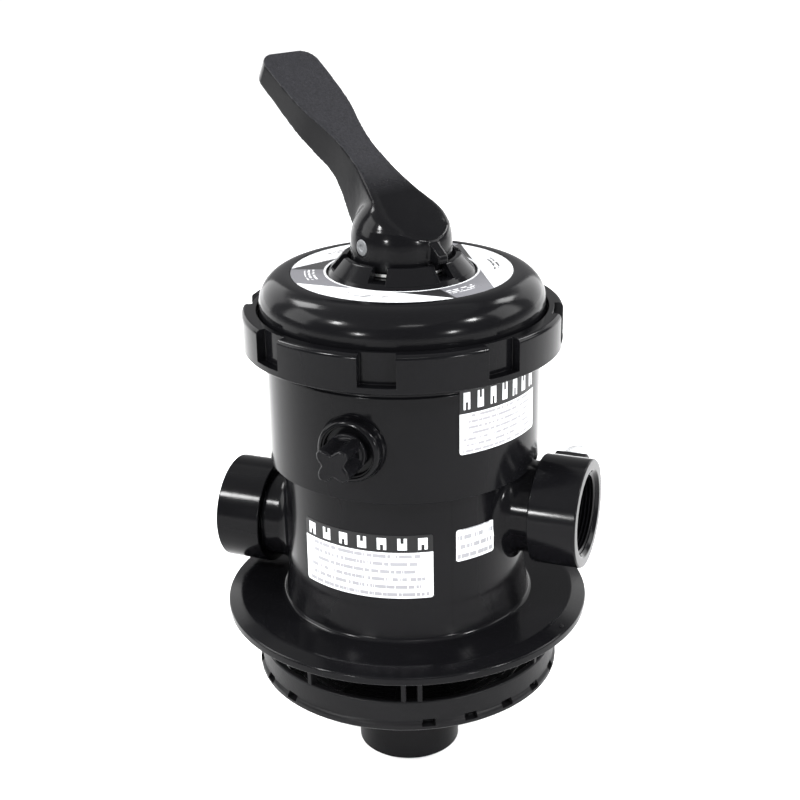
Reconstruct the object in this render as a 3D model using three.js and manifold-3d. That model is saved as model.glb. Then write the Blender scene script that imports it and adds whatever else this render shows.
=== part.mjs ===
// Top-mount six-position multiport valve for a pool filter tank.
// Millimetres, +Z up. The origin is the centre of the clamp flange's underside, on the valve's axis.
// The waste port points along +X, the return port along -X, the pump port along +Y and the
// drain plug along -Y. The handle stands over the bearing HANDLE_HEADING.

import * as THREE from 'three';
import { mergeVertices } from 'three/addons/utils/BufferGeometryUtils.js';
import Module from 'manifold-3d';

// ---------- driving dimensions ----------

const GAP = 0.3;                 // clearance between pieces that rest on each other
const SEGMENTS = 32;             // sides of a large turned piece
const PORT_SEGMENTS = 20;        // sides of a port
const SMALL_SEGMENTS = 14;       // sides of a small turned piece

// clamp flange and lower body
const BODY_R = 73;               // lower body
const BODY_WALL = 6;
const FLANGE_EDGE = 6;           // height of the flange's rim
const FLANGE_TOP = 7.5;          // top of the flange where the fillet starts
const FLANGE_FILLET = 20;
const FLANGE_LAND = 18.4;        // flat top of the flange outside the fillet
const FLANGE_SLOPE = 9;          // width of the shallow slope inside the rim
const SKIRT_OUTSET = 13;         // short wall under the flange that centres the tank neck
const SKIRT_WALL = 4;
const SKIRT_DEPTH = 10;

// upper body, which overhangs the lower one
const OVERHANG = 8;
const UPPER_DRAFT = 1;           // the upper body is this much slimmer at its top
const UPPER_HEIGHT = 82.2;
const SEAT_STEP = 5;             // the plate seat stands this far above the overhang
const THREAD_STAND = 6.7;        // the thread at the mouth stands out this far
const THREAD_LENGTH = 9;

// ports
const PORT_LENGTH = 42;          // mouth plane, from the lower body's wall
const LOW_PORT_CLEARANCE = 5;    // between the low ports' collars and the flange
const PORT_RISE = 28;            // the waste port is this much higher than the other two
const PORT_TO_STEP = 26;         // from the waste port's axis up to the overhang
const COLLAR_R = 31.5;
const COLLAR_LENGTH = 29;
const NECK_R = 27.5;
const THREAD_BORE_R = 24;
const THREAD_DEPTH = 26;
const WATERWAY_R = 20.5;

// port plate with its centre tube and chamber walls
const WALL_FIT = 0.9955;          // reach of the chamber walls, as a share of the chamber
const PLATE_THICKNESS = 8;
const TUBE_R = 31.8;
const TUBE_WALL = 4.3;
const TUBE_END_Z = -102;
const TUBE_WINDOW = [240, 30];   // bearing and width of the window into the tube
const CHAMBER_DEPTH = 30;        // from the low ports' axis down to the chamber floor
const CHAMBER_FLOOR = 4;
const WALL_THICKNESS = 3.5;
const CHAMBER_WALLS = [32, 148, 212, 270, 328];  // bearings, degrees
const OPENING_INSET = 5.2;       // from the tube's outside to the openings
const OPENING_MARGIN = 2;        // from the openings to the chamber's wall
const OPENING_ANGLE = 44;        // degrees
const POSITIONS = 6;             // openings in the plate, notches in the index crown

// gasket between the plate and the rotor
const GASKET_HEIGHT = 3.4;
const GASKET_WIDTH = 3.4;
const GASKET_GROOVE = 1.4;       // depth of its groove in the plate
const GASKET_OFFSET = 3.4;       // its rings run this far outside the openings

// rotor and stem
const ROTOR_CLEARANCE = 1.5;     // radial, to the upper body's bore
const ROTOR_THICKNESS = 14;
const ROTOR_POCKET = 10;         // depth of the channel that joins two openings
const ROTOR_CHANNEL = [180, 240];  // bearings of the two openings it joins
const ROTOR_OPENINGS = [120, 300];
const ROTOR_HUB = 9;             // height of the hub over the disc
const STEM_R = 11;
const STEM_CLEARANCE = 0.8;
const STEM_SEAL = 2.4;           // section of the stem's rubber rings
const STEM_SEAL_HEIGHTS = [4, 10];  // above the foot of the boss under the cover
const TONGUE_LENGTH = 18;        // flat tongue on the stem that carries the pin
const TONGUE_WIDTH = 12;
const TONGUE_TOP = 9;            // tongue above the pin's axis
const SPRING_R = 21.5;
const SPRING_WIRE = 4;
const SPRING_TURNS = 5.5;
const WASHER = 1.5;              // thickness of the spring's washers

// cover
const COVER_FLANGE = 4.8;
const COVER_INSET = 2.5;         // the dome is slimmer than the thread by this much
const COVER_HEIGHT = 30.8;       // face of the dial, from the body's mouth
const SHOULDER = 19.6;           // width of the dome's round shoulder
const SHOULDER_START = 12;       // height at which it starts to curve
const LABEL_THICKNESS = 0.6;
const CROWN_CLEARANCE = 1.9;     // between the handle's bulb and the crown
const CROWN_WALL = 2.8;
const CROWN_FLARE = 8.8;         // the crown is this much wider at its foot
const CROWN_HEIGHT = 10;
const CROWN_FLOOR = 2;           // the crown's floor stands this far above the dial
const NOTCH_WIDTH = 9;
const NECK_BOSS_WALL = 6;        // boss under the cover round the stem
const NECK_BOSS_LENGTH = 18;
const SPRING_CEILING = 6.5;      // from the dial down to where the spring bears
const COVER_SEAL = { inset: 5.2, section: 3.3 };
const TANK_SEAL = { inset: 14, section: 5.4, depth: 3.4 };

// ring nut
const NUT_WALL = 7.3;
const NUT_SKIRT = 3.2;           // the nut hangs this far below the thread
const NUT_LIP = 4.8;
const NUT_EDGE = 3;              // rounding of its top edge
const POCKETS = 8;
const POCKET_DEPTH = 5.5;
const POCKET_ANGLE = 13;         // degrees
const POCKET_FLOOR = 4;          // solid band under each pocket
const POCKET_PHASE = -33;        // bearing of one pocket, degrees

// handle
const PIN_HEIGHT = 16;           // pin's axis above the crown's floor
const PIN_R = 5;
const HANDLE_HEADING = 150;      // bearing the handle points to, degrees
const HANDLE_SLOPE = 33;         // rise of its top face, degrees
const HANDLE_TOP = 24;           // top face above the pin, over the pin
const BULB_R = 29.5;
const HANDLE_TIP = 105;          // tip of the top face, from the valve's axis
const HANDLE_END = 4.5;          // bulge of the rounded end
// half-widths of the arm at fractions of its length: a narrow neck and a wider grip
const HANDLE_PLAN = [[-0.02, 20], [0.057, 17], [0.152, 14], [0.248, 11.8], [0.352, 11], [0.438, 11.4],
  [0.533, 13.4], [0.629, 16.4], [0.724, 17.8], [0.857, 18.6], [1.02, 18.9]];
// thickness of the arm at fractions of its length
const HANDLE_DEPTH = [[0.095, 27], [0.352, 18], [0.667, 13], [1, 10.5]];
const CAM_EDGE = 15.5;           // edge of the cam's flat, towards the handle's tip
const PRESS_ANGLE = 32;          // travel of the handle, degrees
const THRUST_WASHER = 2;
const SLOT_CLEARANCE = 1;        // round the tongue, along the handle
const LUG_REACH = 4;             // the index lug stands this far outside the crown's top

// diffuser under the flange
const DIFFUSER_OUTSET = 6;       // outside the skirt
const DIFFUSER_TOP_Z = -22.5;
const DIFFUSER_WALL = 3.5;
const LEDGE = 1.5;               // the ledge stands out this far
const LEDGE_Z = -37;
const LEDGE_HEIGHT = 4.2;
const HUB_RING = 5;
const SPOKES = 12;
const SPOKE_WIDTH = 4;
const SLOT_WIDTH = 8;
const SLOT_BEARINGS = [-62, -46, -30, -14, 2];       // repeated in three groups
const POST_WIDTH = 3;
const POST_BEARINGS = [-132, -109, -71, -65];        // repeated in three groups

// drain plug
const PLUG_RISE = 33;            // its axis above the overhang
const PLUG_BOSS_R = 18.5;
const PLUG_BOSS_STAND = 7.5;
const PLUG_BOSS_RIM = 4;         // width of the boss's rim round its recess
const PLUG_BOSS_EDGE = 2.5;      // rounding of the rim
const PLUG_RECESS = 4;
const PLUG_THREAD_R = 6.8;
const PLUG_SHANK = 7.5;
const PLUG_FLANGE = 3;           // its thickness, and its clearance in the recess
const PLUG_O_RING = 2;           // section of the plug's rubber ring
const PLUG_HEAD = 17.5;          // across the lobes
const PLUG_HEAD_LENGTH = 20;
const PLUG_HOLLOW = [1.42, 0.72];  // place and size of the hollows between the lobes

// sight glass on the waste port
const GLASS_INSET = 23;          // its axis, behind the port's mouth
const GLASS_BOSS_R = 15.2;
const GLASS_BOSS_STAND = 9.5;    // outside the collar
const GLASS_STEP = 1.45;         // the glass is slimmer than its flange by this much
const GLASS_LENGTH = 28;
const GLASS_WALL = 2;
const GLASS_EDGE = 1.5;
const GLASS_FLANGE = 2.5;
const GLASS_O_RING = 2;
const GLASS_NUT_WALL = 3.8;      // at the flats
const GLASS_NUT_LENGTH = 13;
const GLASS_NUT_LIP = 2;

// stickers: bearings in degrees, and distances from the overhang or from the ring nut
const STICKER = 0.4;
const FRONT_STICKER = { from: -122, to: -57, height: 40, below: 23 };
const UPPER_STICKER = { from: -47, to: -3, height: 39, below: 4 };
const SERIAL_STICKER = { from: -46, to: -25, height: 20, below: 23 };

// ---------- places worked out from the driving dimensions ----------

const FOREVER = 400;             // longer than any piece, for cutting tools

const CHAMBER_R = BODY_R - BODY_WALL;
const FLANGE_R = BODY_R + FLANGE_FILLET + FLANGE_LAND;
const SKIRT_R = BODY_R + SKIRT_OUTSET;
const UPPER_R = BODY_R + OVERHANG;
const UPPER_TOP_R = UPPER_R - UPPER_DRAFT;
const UPPER_BORE_R = UPPER_R - BODY_WALL;
const THREAD_R = UPPER_TOP_R + THREAD_STAND;
const NUT_R = THREAD_R + NUT_WALL;
const DOME_R = THREAD_R - COVER_INSET;
const CROWN_BORE_R = BULB_R + CROWN_CLEARANCE;
const CROWN_TOP_R = CROWN_BORE_R + CROWN_WALL;
const CROWN_BASE_R = CROWN_TOP_R + CROWN_FLARE;
const LABEL_INNER_R = CROWN_BASE_R + 1;
const LABEL_OUTER_R = DOME_R - SHOULDER;
const DIFFUSER_R = SKIRT_R + DIFFUSER_OUTSET;
const LEDGE_R = DIFFUSER_R + LEDGE;
const OPENING_INNER_R = TUBE_R + OPENING_INSET;
const OPENING_OUTER_R = CHAMBER_R - OPENING_MARGIN;
const NECK_BORE_R = STEM_R + STEM_CLEARANCE;
const NECK_BOSS_R = STEM_R + NECK_BOSS_WALL;
const SPRING_WASHER_R = SPRING_R + SPRING_WIRE;
const STEM_SEAL_INNER = STEM_R - STEM_SEAL + 0.2;
const PORT_REACH = BODY_R + PORT_LENGTH;
const PLUG_BOSS_REACH = UPPER_R + PLUG_BOSS_STAND;
const PLUG_RECESS_R = PLUG_BOSS_R - PLUG_BOSS_RIM;
const GLASS_AT = PORT_REACH - GLASS_INSET;
const GLASS_R = GLASS_BOSS_R - GLASS_STEP;
const GLASS_BOSS_END = COLLAR_R + GLASS_BOSS_STAND;
const GLASS_FLANGE_AT = GLASS_BOSS_END + GLASS_O_RING + 2 * GAP;
const GLASS_END = GLASS_BOSS_END + GLASS_LENGTH;

const LOW_PORT_Z = FLANGE_TOP + LOW_PORT_CLEARANCE + COLLAR_R;   // the pump and return ports
const WASTE_PORT_Z = LOW_PORT_Z + PORT_RISE;
const CHAMBER_FLOOR_Z = LOW_PORT_Z - CHAMBER_DEPTH;
const STEP_Z = WASTE_PORT_Z + PORT_TO_STEP;
const BODY_TOP_Z = STEP_Z + UPPER_HEIGHT;
const PLUG_Z = STEP_Z + PLUG_RISE;
const SEAT_Z = STEP_Z + SEAT_STEP;
const PLATE_Z = SEAT_Z + GAP;
const PLATE_TOP = PLATE_Z + PLATE_THICKNESS;
const GASKET_Z = PLATE_TOP - GASKET_GROOVE + GAP;
const ROTOR_Z = GASKET_Z + GASKET_HEIGHT + GAP;
const ROTOR_TOP = ROTOR_Z + ROTOR_THICKNESS;
const HUB_TOP = ROTOR_TOP + ROTOR_HUB;
const COVER_Z = BODY_TOP_Z + GAP;
const COVER_FLANGE_TOP = COVER_Z + COVER_FLANGE;
const COVER_TOP_Z = BODY_TOP_Z + COVER_HEIGHT;
const LABEL_Z = COVER_TOP_Z - LABEL_THICKNESS;
const LABEL_SEAT = LABEL_Z - GAP;
const CROWN_TOP_Z = COVER_TOP_Z + CROWN_HEIGHT;
const CROWN_FLOOR_Z = COVER_TOP_Z + CROWN_FLOOR;
const NECK_BOSS_Z = CROWN_FLOOR_Z - NECK_BOSS_LENGTH;
const SPRING_TOP_Z = COVER_TOP_Z - SPRING_CEILING;
const LOWER_WASHER_Z = HUB_TOP + GAP;
const UPPER_WASHER_Z = SPRING_TOP_Z - GAP - WASHER;
const NUT_BOTTOM_Z = BODY_TOP_Z - THREAD_LENGTH - NUT_SKIRT;
const NUT_LIP_Z = COVER_FLANGE_TOP + GAP;
const NUT_TOP_Z = NUT_LIP_Z + NUT_LIP;
const WASHER_Z = CROWN_FLOOR_Z + GAP;
const PIN_Z = CROWN_FLOOR_Z + PIN_HEIGHT;

// in the handle's own frame, where the pin is at z = 0
const CAM_Z = WASHER_Z + THRUST_WASHER + GAP - PIN_Z;
const LUG_BOTTOM = CROWN_TOP_Z + 2 * GAP - PIN_Z;

// ---------- helpers ----------

const wasm = await Module();
wasm.setup();

const radians = THREE.MathUtils.degToRad;
const point = (x, y) => new THREE.Vector2(x, y);

// A closed solid of the boolean library, from a closed three.js geometry.
function solid(geometry) {
  const bare = geometry.index ? geometry.toNonIndexed() : geometry.clone();
  bare.deleteAttribute('normal');
  bare.deleteAttribute('uv');
  const merged = mergeVertices(bare, 1e-4);
  const index = merged.index.array;
  const triangles = [];
  for (let i = 0; i < index.length; i += 3) {
    const [a, b, c] = [index[i], index[i + 1], index[i + 2]];
    if (a !== b && b !== c && c !== a) triangles.push(a, b, c);
  }
  return new wasm.Manifold(new wasm.Mesh({
    numProp: 3,
    vertProperties: new Float32Array(merged.attributes.position.array),
    triVerts: new Uint32Array(triangles),
  }));
}

// The points of a round stretch of a profile.
function arc(x, y, rx, ry, from, to, steps) {
  return Array.from({ length: steps + 1 }, (_, i) => {
    const angle = radians(from + (to - from) * i / steps);
    return point(x + rx * Math.cos(angle), y + ry * Math.sin(angle));
  });
}

// A solid of revolution about Z, from an outline of [radius, height] points.
function turned(outline, segments = SEGMENTS) {
  const points = outline.map((p) => (p.isVector2 ? p : point(p[0], p[1])));
  const loop = THREE.ShapeUtils.isClockWise(points) ? points.reverse() : points;
  const geometry = new THREE.LatheGeometry([...loop, loop[0]], segments);
  return solid(geometry.rotateX(Math.PI / 2));
}

const disc = (r, low, high, segments) => turned([[0, low], [r, low], [r, high], [0, high]], segments);

function ring(inner, outer, low, high, segments) {
  return turned([[inner, low], [outer, low], [outer, high], [inner, high]], segments);
}

// A rubber ring of round section, lying flat.
function torus(radius, section, z, segments = SEGMENTS) {
  return solid(new THREE.TorusGeometry(radius, section / 2, 6, segments).translate(0, 0, z));
}

// An outline in XY, raised from z = low to z = high.
function raised(outline, low, high) {
  const geometry = new THREE.ExtrudeGeometry(new THREE.Shape(outline),
    { depth: high - low, bevelEnabled: false });
  return solid(geometry.translate(0, 0, low));
}

// A slice of a ring between two bearings.
function sector(inner, outer, from, to, low, high, steps = 5) {
  const outline = [
    ...arc(0, 0, outer, outer, from, to, steps),
    ...arc(0, 0, inner, inner, to, from, steps),
  ];
  return raised(outline, low, high);
}

// A bar from one radius to another along a bearing.
function bar(inner, outer, width, low, high, bearing) {
  const outline = [point(inner, -width / 2), point(outer, -width / 2),
    point(outer, width / 2), point(inner, width / 2)];
  return raised(outline, low, high).rotate([0, 0, bearing]);
}

const joined = (...solids) => solids.reduce((a, b) => a.add(b));
const bearings = (count, start = 0) => Array.from({ length: count }, (_, i) => start + i * 360 / count);
const inGroups = (list, groups = 3) => bearings(groups).flatMap((turn) => list.map((b) => b + turn));

const alongX = (shape) => shape.rotate([0, 90, 0]);
const alongY = (shape) => shape.rotate([-90, 0, 0]);

function plastic(color, roughness = 0.35) {
  return new THREE.MeshStandardMaterial({ color, roughness, metalness: 0 });
}

function metal(color, roughness = 0.35) {
  return new THREE.MeshStandardMaterial({ color, roughness, metalness: 1 });
}

const valve = new THREE.Group();

function place(name, shape, material, group = valve) {
  const { vertProperties, triVerts } = shape.getMesh();
  const geometry = new THREE.BufferGeometry();
  geometry.setAttribute('position', new THREE.BufferAttribute(vertProperties, 3));
  geometry.setIndex(new THREE.BufferAttribute(triVerts, 1));
  geometry.computeVertexNormals();
  const mesh = new THREE.Mesh(geometry, material);
  mesh.name = name;
  group.add(mesh);
  return mesh;
}

const BLACK = 0x141416;
const DARK = 0x1d1e21;
const RUBBER = 0x0c0c0d;
const STEEL = 0xa9adb0;
const WHITE = 0xf1f1ee;

// ---------- housing ----------

const ports = [
  { bearing: 0, z: WASTE_PORT_Z },
  { bearing: 90, z: LOW_PORT_Z },
  { bearing: 180, z: LOW_PORT_Z },
];

const atPort = (shape, port) => shape.rotate([0, 0, port.bearing]).translate([0, 0, port.z]);
const glassAxis = (shape) => alongY(shape).translate([GLASS_AT, 0, WASTE_PORT_Z]);
const plugAxis = (shape) => shape.rotate([90, 0, 0]).translate([0, 0, PLUG_Z]);

// One port: a threaded collar on a slimmer neck, pointing along +X.
function portOutside() {
  const [back, edge] = [PORT_REACH - COLLAR_LENGTH, 1.2];
  const collar = turned([[0, back], [COLLAR_R - edge, back], [COLLAR_R, back + edge],
    [COLLAR_R, PORT_REACH - edge], [COLLAR_R - edge, PORT_REACH], [0, PORT_REACH]], PORT_SEGMENTS);
  return alongX(joined(collar, disc(NECK_R, CHAMBER_R / 2, back + 1, PORT_SEGMENTS)));
}

// The bore tapers a little, as a pipe thread does, and opens in a chamfer.
function portBore() {
  const [taper, chamfer, beyond] = [0.8, 2, 0.5];
  const bottom = PORT_REACH - THREAD_DEPTH;
  const thread = turned([[0, bottom], [THREAD_BORE_R - taper, bottom], [THREAD_BORE_R, PORT_REACH - chamfer],
    [THREAD_BORE_R + chamfer, PORT_REACH + beyond], [0, PORT_REACH + beyond]], PORT_SEGMENTS);
  return alongX(joined(thread, disc(WATERWAY_R, CHAMBER_R / 2, PORT_REACH, PORT_SEGMENTS)));
}

function bodyShell() {
  const edge = 0.8;
  const inner = SKIRT_R - SKIRT_WALL;
  const fillet = arc(BODY_R + FLANGE_FILLET, FLANGE_TOP + FLANGE_FILLET,
    FLANGE_FILLET, FLANGE_FILLET, 270, 180, 4);
  return turned([
    [0, 0], [inner, 0], [inner, -SKIRT_DEPTH], [SKIRT_R, -SKIRT_DEPTH], [SKIRT_R, 0],
    [FLANGE_R, 0], [FLANGE_R, FLANGE_EDGE - edge], [FLANGE_R - edge, FLANGE_EDGE],
    [FLANGE_R - FLANGE_SLOPE, FLANGE_TOP], ...fillet,
    [BODY_R, STEP_Z - edge], [UPPER_R, STEP_Z], [UPPER_TOP_R, BODY_TOP_Z - THREAD_LENGTH - edge],
    [THREAD_R, BODY_TOP_Z - THREAD_LENGTH], [THREAD_R, BODY_TOP_Z], [0, BODY_TOP_Z],
  ]);
}

// The ring groove that a round seal lies in, cut between two heights.
function sealGroove(r, section, low, high) {
  const half = section / 2 + GAP;
  return ring(r - half, r + half, low, high);
}

function plugBoss() {
  const edge = PLUG_BOSS_EDGE;
  return plugAxis(turned([[0, BODY_R], [PLUG_BOSS_R, BODY_R],
    ...arc(PLUG_BOSS_R - edge, PLUG_BOSS_REACH - edge, edge, edge, 0, 90, 3), [0, PLUG_BOSS_REACH]],
  PORT_SEGMENTS));
}

function plugBore() {
  const recess = disc(PLUG_RECESS_R, PLUG_BOSS_REACH - PLUG_RECESS, PLUG_BOSS_REACH + 1, SEGMENTS);
  const thread = disc(PLUG_THREAD_R, UPPER_BORE_R / 2, PLUG_BOSS_REACH, SMALL_SEGMENTS);
  return plugAxis(joined(recess, thread));
}

const coverSealR = UPPER_BORE_R + COVER_SEAL.inset;
const tankSealR = SKIRT_R + TANK_SEAL.inset;

function valveBody() {
  const chambers = joined(disc(CHAMBER_R, -1, SEAT_Z + 1), disc(UPPER_BORE_R, SEAT_Z, BODY_TOP_Z + 1));
  const glassBoreR = GLASS_R - GLASS_WALL - 1;
  const glassBore = glassAxis(disc(glassBoreR, WATERWAY_R / 2, GLASS_BOSS_END + 1, SMALL_SEGMENTS));
  let body = joined(bodyShell(), plugBoss(), glassAxis(disc(GLASS_BOSS_R, 0, GLASS_BOSS_END, SEGMENTS)));
  for (const port of ports) body = body.add(atPort(portOutside(), port));
  body = body.subtract(chambers).subtract(plugBore()).subtract(glassBore);
  for (const port of ports) body = body.subtract(atPort(portBore(), port));
  const coverSealFloor = BODY_TOP_Z - COVER_SEAL.section - GAP;
  return body
    .subtract(sealGroove(coverSealR, COVER_SEAL.section, coverSealFloor, BODY_TOP_Z + 1))
    .subtract(sealGroove(tankSealR, TANK_SEAL.section, -1, TANK_SEAL.depth));
}

place('valve_body', valveBody(), plastic(BLACK, 0.22));
place('cover_o_ring', torus(coverSealR, COVER_SEAL.section - 0.2, BODY_TOP_Z - COVER_SEAL.section / 2 - 0.1),
  plastic(RUBBER, 0.6));
place('tank_seal_ring', torus(tankSealR, TANK_SEAL.section, TANK_SEAL.depth - GAP - TANK_SEAL.section / 2),
  plastic(RUBBER, 0.6));

// ---------- port plate, with the centre tube and the chamber walls ----------

// The spoked outline of the gasket; grow widens it into its groove.
function spider(low, high, grow = 0) {
  const half = GASKET_WIDTH / 2 + grow;
  const [inner, outer] = [OPENING_INNER_R - GASKET_OFFSET, OPENING_OUTER_R + GASKET_OFFSET];
  return joined(ring(inner - half, inner + half, low, high), ring(outer - half, outer + half, low, high),
    ...bearings(POSITIONS, 180 / POSITIONS).map((b) => bar(inner, outer, 2 * half, low, high, b)));
}

const plateOpening = (bearing, low, high) => sector(OPENING_INNER_R, OPENING_OUTER_R,
  bearing - OPENING_ANGLE / 2, bearing + OPENING_ANGLE / 2, low, high);

const tubeBore = TUBE_R - TUBE_WALL;
const tubeSeal = { z: TUBE_END_Z + 11.7, section: 2.7, inset: 0.75 };

function portPlate() {
  const wallR = CHAMBER_R * WALL_FIT;
  const floorTop = CHAMBER_FLOOR_Z + CHAMBER_FLOOR;
  let plate = joined(
    disc(UPPER_BORE_R - GAP, PLATE_Z, PLATE_TOP),
    disc(TUBE_R, TUBE_END_Z, PLATE_Z + 1),
    disc(wallR, CHAMBER_FLOOR_Z, floorTop),
    ...CHAMBER_WALLS.map((b) => bar(TUBE_R - 1, wallR, WALL_THICKNESS, CHAMBER_FLOOR_Z, PLATE_Z + 1, b)),
  ).subtract(disc(tubeBore, TUBE_END_Z - 1, PLATE_Z));
  for (const b of bearings(POSITIONS)) plate = plate.subtract(plateOpening(b, PLATE_Z - 1, PLATE_TOP + 1));

  // the chamber between the last two walls is open to the tank, the one before it to the tube
  const wallAngle = 2.5;
  const [openFrom, openTo] = CHAMBER_WALLS.slice(-2);
  const tankWay = sector(TUBE_R, wallR + 1, openFrom + wallAngle, openTo - wallAngle,
    CHAMBER_FLOOR_Z - 1, floorTop + 1);
  const [bearing, width] = TUBE_WINDOW;
  const tubeWindow = bar(tubeBore - 3, TUBE_R + 3, width, floorTop + 6, PLATE_Z - 12, bearing);
  const sealHalf = tubeSeal.section / 2 + GAP;
  return plate.subtract(tankWay).subtract(tubeWindow)
    .subtract(spider(PLATE_TOP - GASKET_GROOVE, PLATE_TOP + 1, GAP))
    .subtract(ring(tubeBore - 1, tubeBore + tubeSeal.inset + sealHalf, tubeSeal.z - sealHalf,
      tubeSeal.z + sealHalf));
}

place('port_plate', portPlate(), plastic(DARK, 0.4));
place('spider_gasket', spider(GASKET_Z, GASKET_Z + GASKET_HEIGHT), plastic(RUBBER, 0.65));
place('standpipe_o_ring', torus(tubeBore + tubeSeal.inset, tubeSeal.section, tubeSeal.z), plastic(RUBBER, 0.6));

// ---------- diffuser ----------

function diffuser() {
  const bottom = LEDGE_Z - LEDGE_HEIGHT;
  const inside = DIFFUSER_R - DIFFUSER_WALL;
  const hub = TUBE_R + 2 * GAP;
  const wall = turned([[inside, bottom], [LEDGE_R, bottom], [LEDGE_R, LEDGE_Z], [DIFFUSER_R, LEDGE_Z + LEDGE],
    [DIFFUSER_R, DIFFUSER_TOP_Z], [inside, DIFFUSER_TOP_Z]]);
  const posts = inGroups(POST_BEARINGS)
    .map((b) => bar(SKIRT_R + GAP, DIFFUSER_R - 0.5, POST_WIDTH, LEDGE_Z, -GAP, b));
  const spokes = bearings(SPOKES, 180 / SPOKES)
    .map((b) => bar(hub + 1, inside + 1, SPOKE_WIDTH, bottom, LEDGE_Z, b));
  const slots = inGroups(SLOT_BEARINGS)
    .map((b) => bar(inside - 1, LEDGE_R + 1, SLOT_WIDTH, LEDGE_Z - 1.8, LEDGE_Z + 2.6, b));
  const shape = joined(wall, ring(hub, hub + HUB_RING, bottom, LEDGE_Z), ...spokes, ...posts);
  return slots.reduce((s, slot) => s.subtract(slot), shape);
}

place('diffuser', diffuser(), plastic(DARK, 0.45));

// ---------- rotor, stem and spring ----------

// Distance of the handle's cam from the pin; the round stem ends just under it, so that the cam can
// swing over it.
const slopeOf = radians(PRESS_ANGLE);
const camReach = CAM_EDGE * Math.sin(slopeOf) - CAM_Z * Math.cos(slopeOf);
const roundTop = PIN_Z - camReach - 1;
const stemSealZ = STEM_SEAL_HEIGHTS.map((h) => NECK_BOSS_Z + h);

function rotor() {
  const discR = UPPER_BORE_R - ROTOR_CLEARANCE;
  const hubR = SPRING_WASHER_R + 0.5;
  const body = turned([[0, ROTOR_Z], [discR, ROTOR_Z], [discR, ROTOR_TOP], [hubR + 4, ROTOR_TOP],
    [hubR, HUB_TOP], [0, HUB_TOP]]);
  const tongueHeight = PIN_Z + TONGUE_TOP - roundTop + 1;
  const tongue = solid(new THREE.BoxGeometry(TONGUE_LENGTH, TONGUE_WIDTH, tongueHeight))
    .translate([0, 0, roundTop - 1 + tongueHeight / 2]).rotate([0, 0, HANDLE_HEADING]);
  const pinHole = disc(PIN_R + GAP, -STEM_R, STEM_R, SMALL_SEGMENTS).rotate([90, 0, 0])
    .rotate([0, 0, HANDLE_HEADING]).translate([0, 0, PIN_Z]);
  const [from, to] = ROTOR_CHANNEL;
  const channel = sector(OPENING_INNER_R, OPENING_OUTER_R, from - OPENING_ANGLE / 2, to + OPENING_ANGLE / 2,
    ROTOR_Z - 1, ROTOR_Z + ROTOR_POCKET);
  const half = STEM_SEAL / 2 + GAP;
  let shape = joined(body, disc(STEM_R, HUB_TOP - 1, roundTop, SMALL_SEGMENTS), tongue)
    .subtract(pinHole).subtract(channel);
  for (const b of ROTOR_OPENINGS) shape = shape.subtract(plateOpening(b, ROTOR_Z - 1, ROTOR_TOP + 1));
  for (const z of stemSealZ) {
    shape = shape.subtract(ring(STEM_SEAL_INNER, STEM_R + 2, z - half, z + half, SMALL_SEGMENTS));
  }
  return shape;
}

place('rotor', rotor(), plastic(DARK, 0.4));
['stem_o_ring_lower', 'stem_o_ring_upper'].forEach((name, i) => {
  const r = STEM_SEAL_INNER + GAP + STEM_SEAL / 2;
  place(name, torus(r, STEM_SEAL, stemSealZ[i], SMALL_SEGMENTS), plastic(RUBBER, 0.6));
});

const springWasher = (inner, z) => ring(inner, SPRING_WASHER_R, z, z + WASHER, PORT_SEGMENTS);
place('spring_seat_washer', springWasher(STEM_R + 1, LOWER_WASHER_Z), metal(STEEL));
place('spring_top_washer', springWasher(NECK_BOSS_R + 2 * GAP, UPPER_WASHER_Z), metal(STEEL));

class Helix extends THREE.Curve {
  constructor(radius, low, high, turns) {
    super();
    Object.assign(this, { radius, low, high, turns });
  }

  getPoint(t, target = new THREE.Vector3()) {
    const angle = t * this.turns * 2 * Math.PI;
    const z = this.low + (this.high - this.low) * t;
    return target.set(this.radius * Math.cos(angle), this.radius * Math.sin(angle), z);
  }
}

function returnSpring() {
  const endSpace = 2 * GAP + SPRING_WIRE / 2;
  const section = new THREE.Shape(arc(0, 0, SPRING_WIRE / 2, SPRING_WIRE / 2, 0, 300, 5));
  const path = new Helix(SPRING_R, LOWER_WASHER_Z + WASHER + endSpace, UPPER_WASHER_Z - endSpace, SPRING_TURNS);
  return solid(new THREE.ExtrudeGeometry(section,
    { steps: Math.round(SPRING_TURNS * 12), extrudePath: path, bevelEnabled: false }));
}

place('return_spring', returnSpring(), metal(STEEL, 0.25));

// ---------- cover, dial and ring nut ----------

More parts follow.
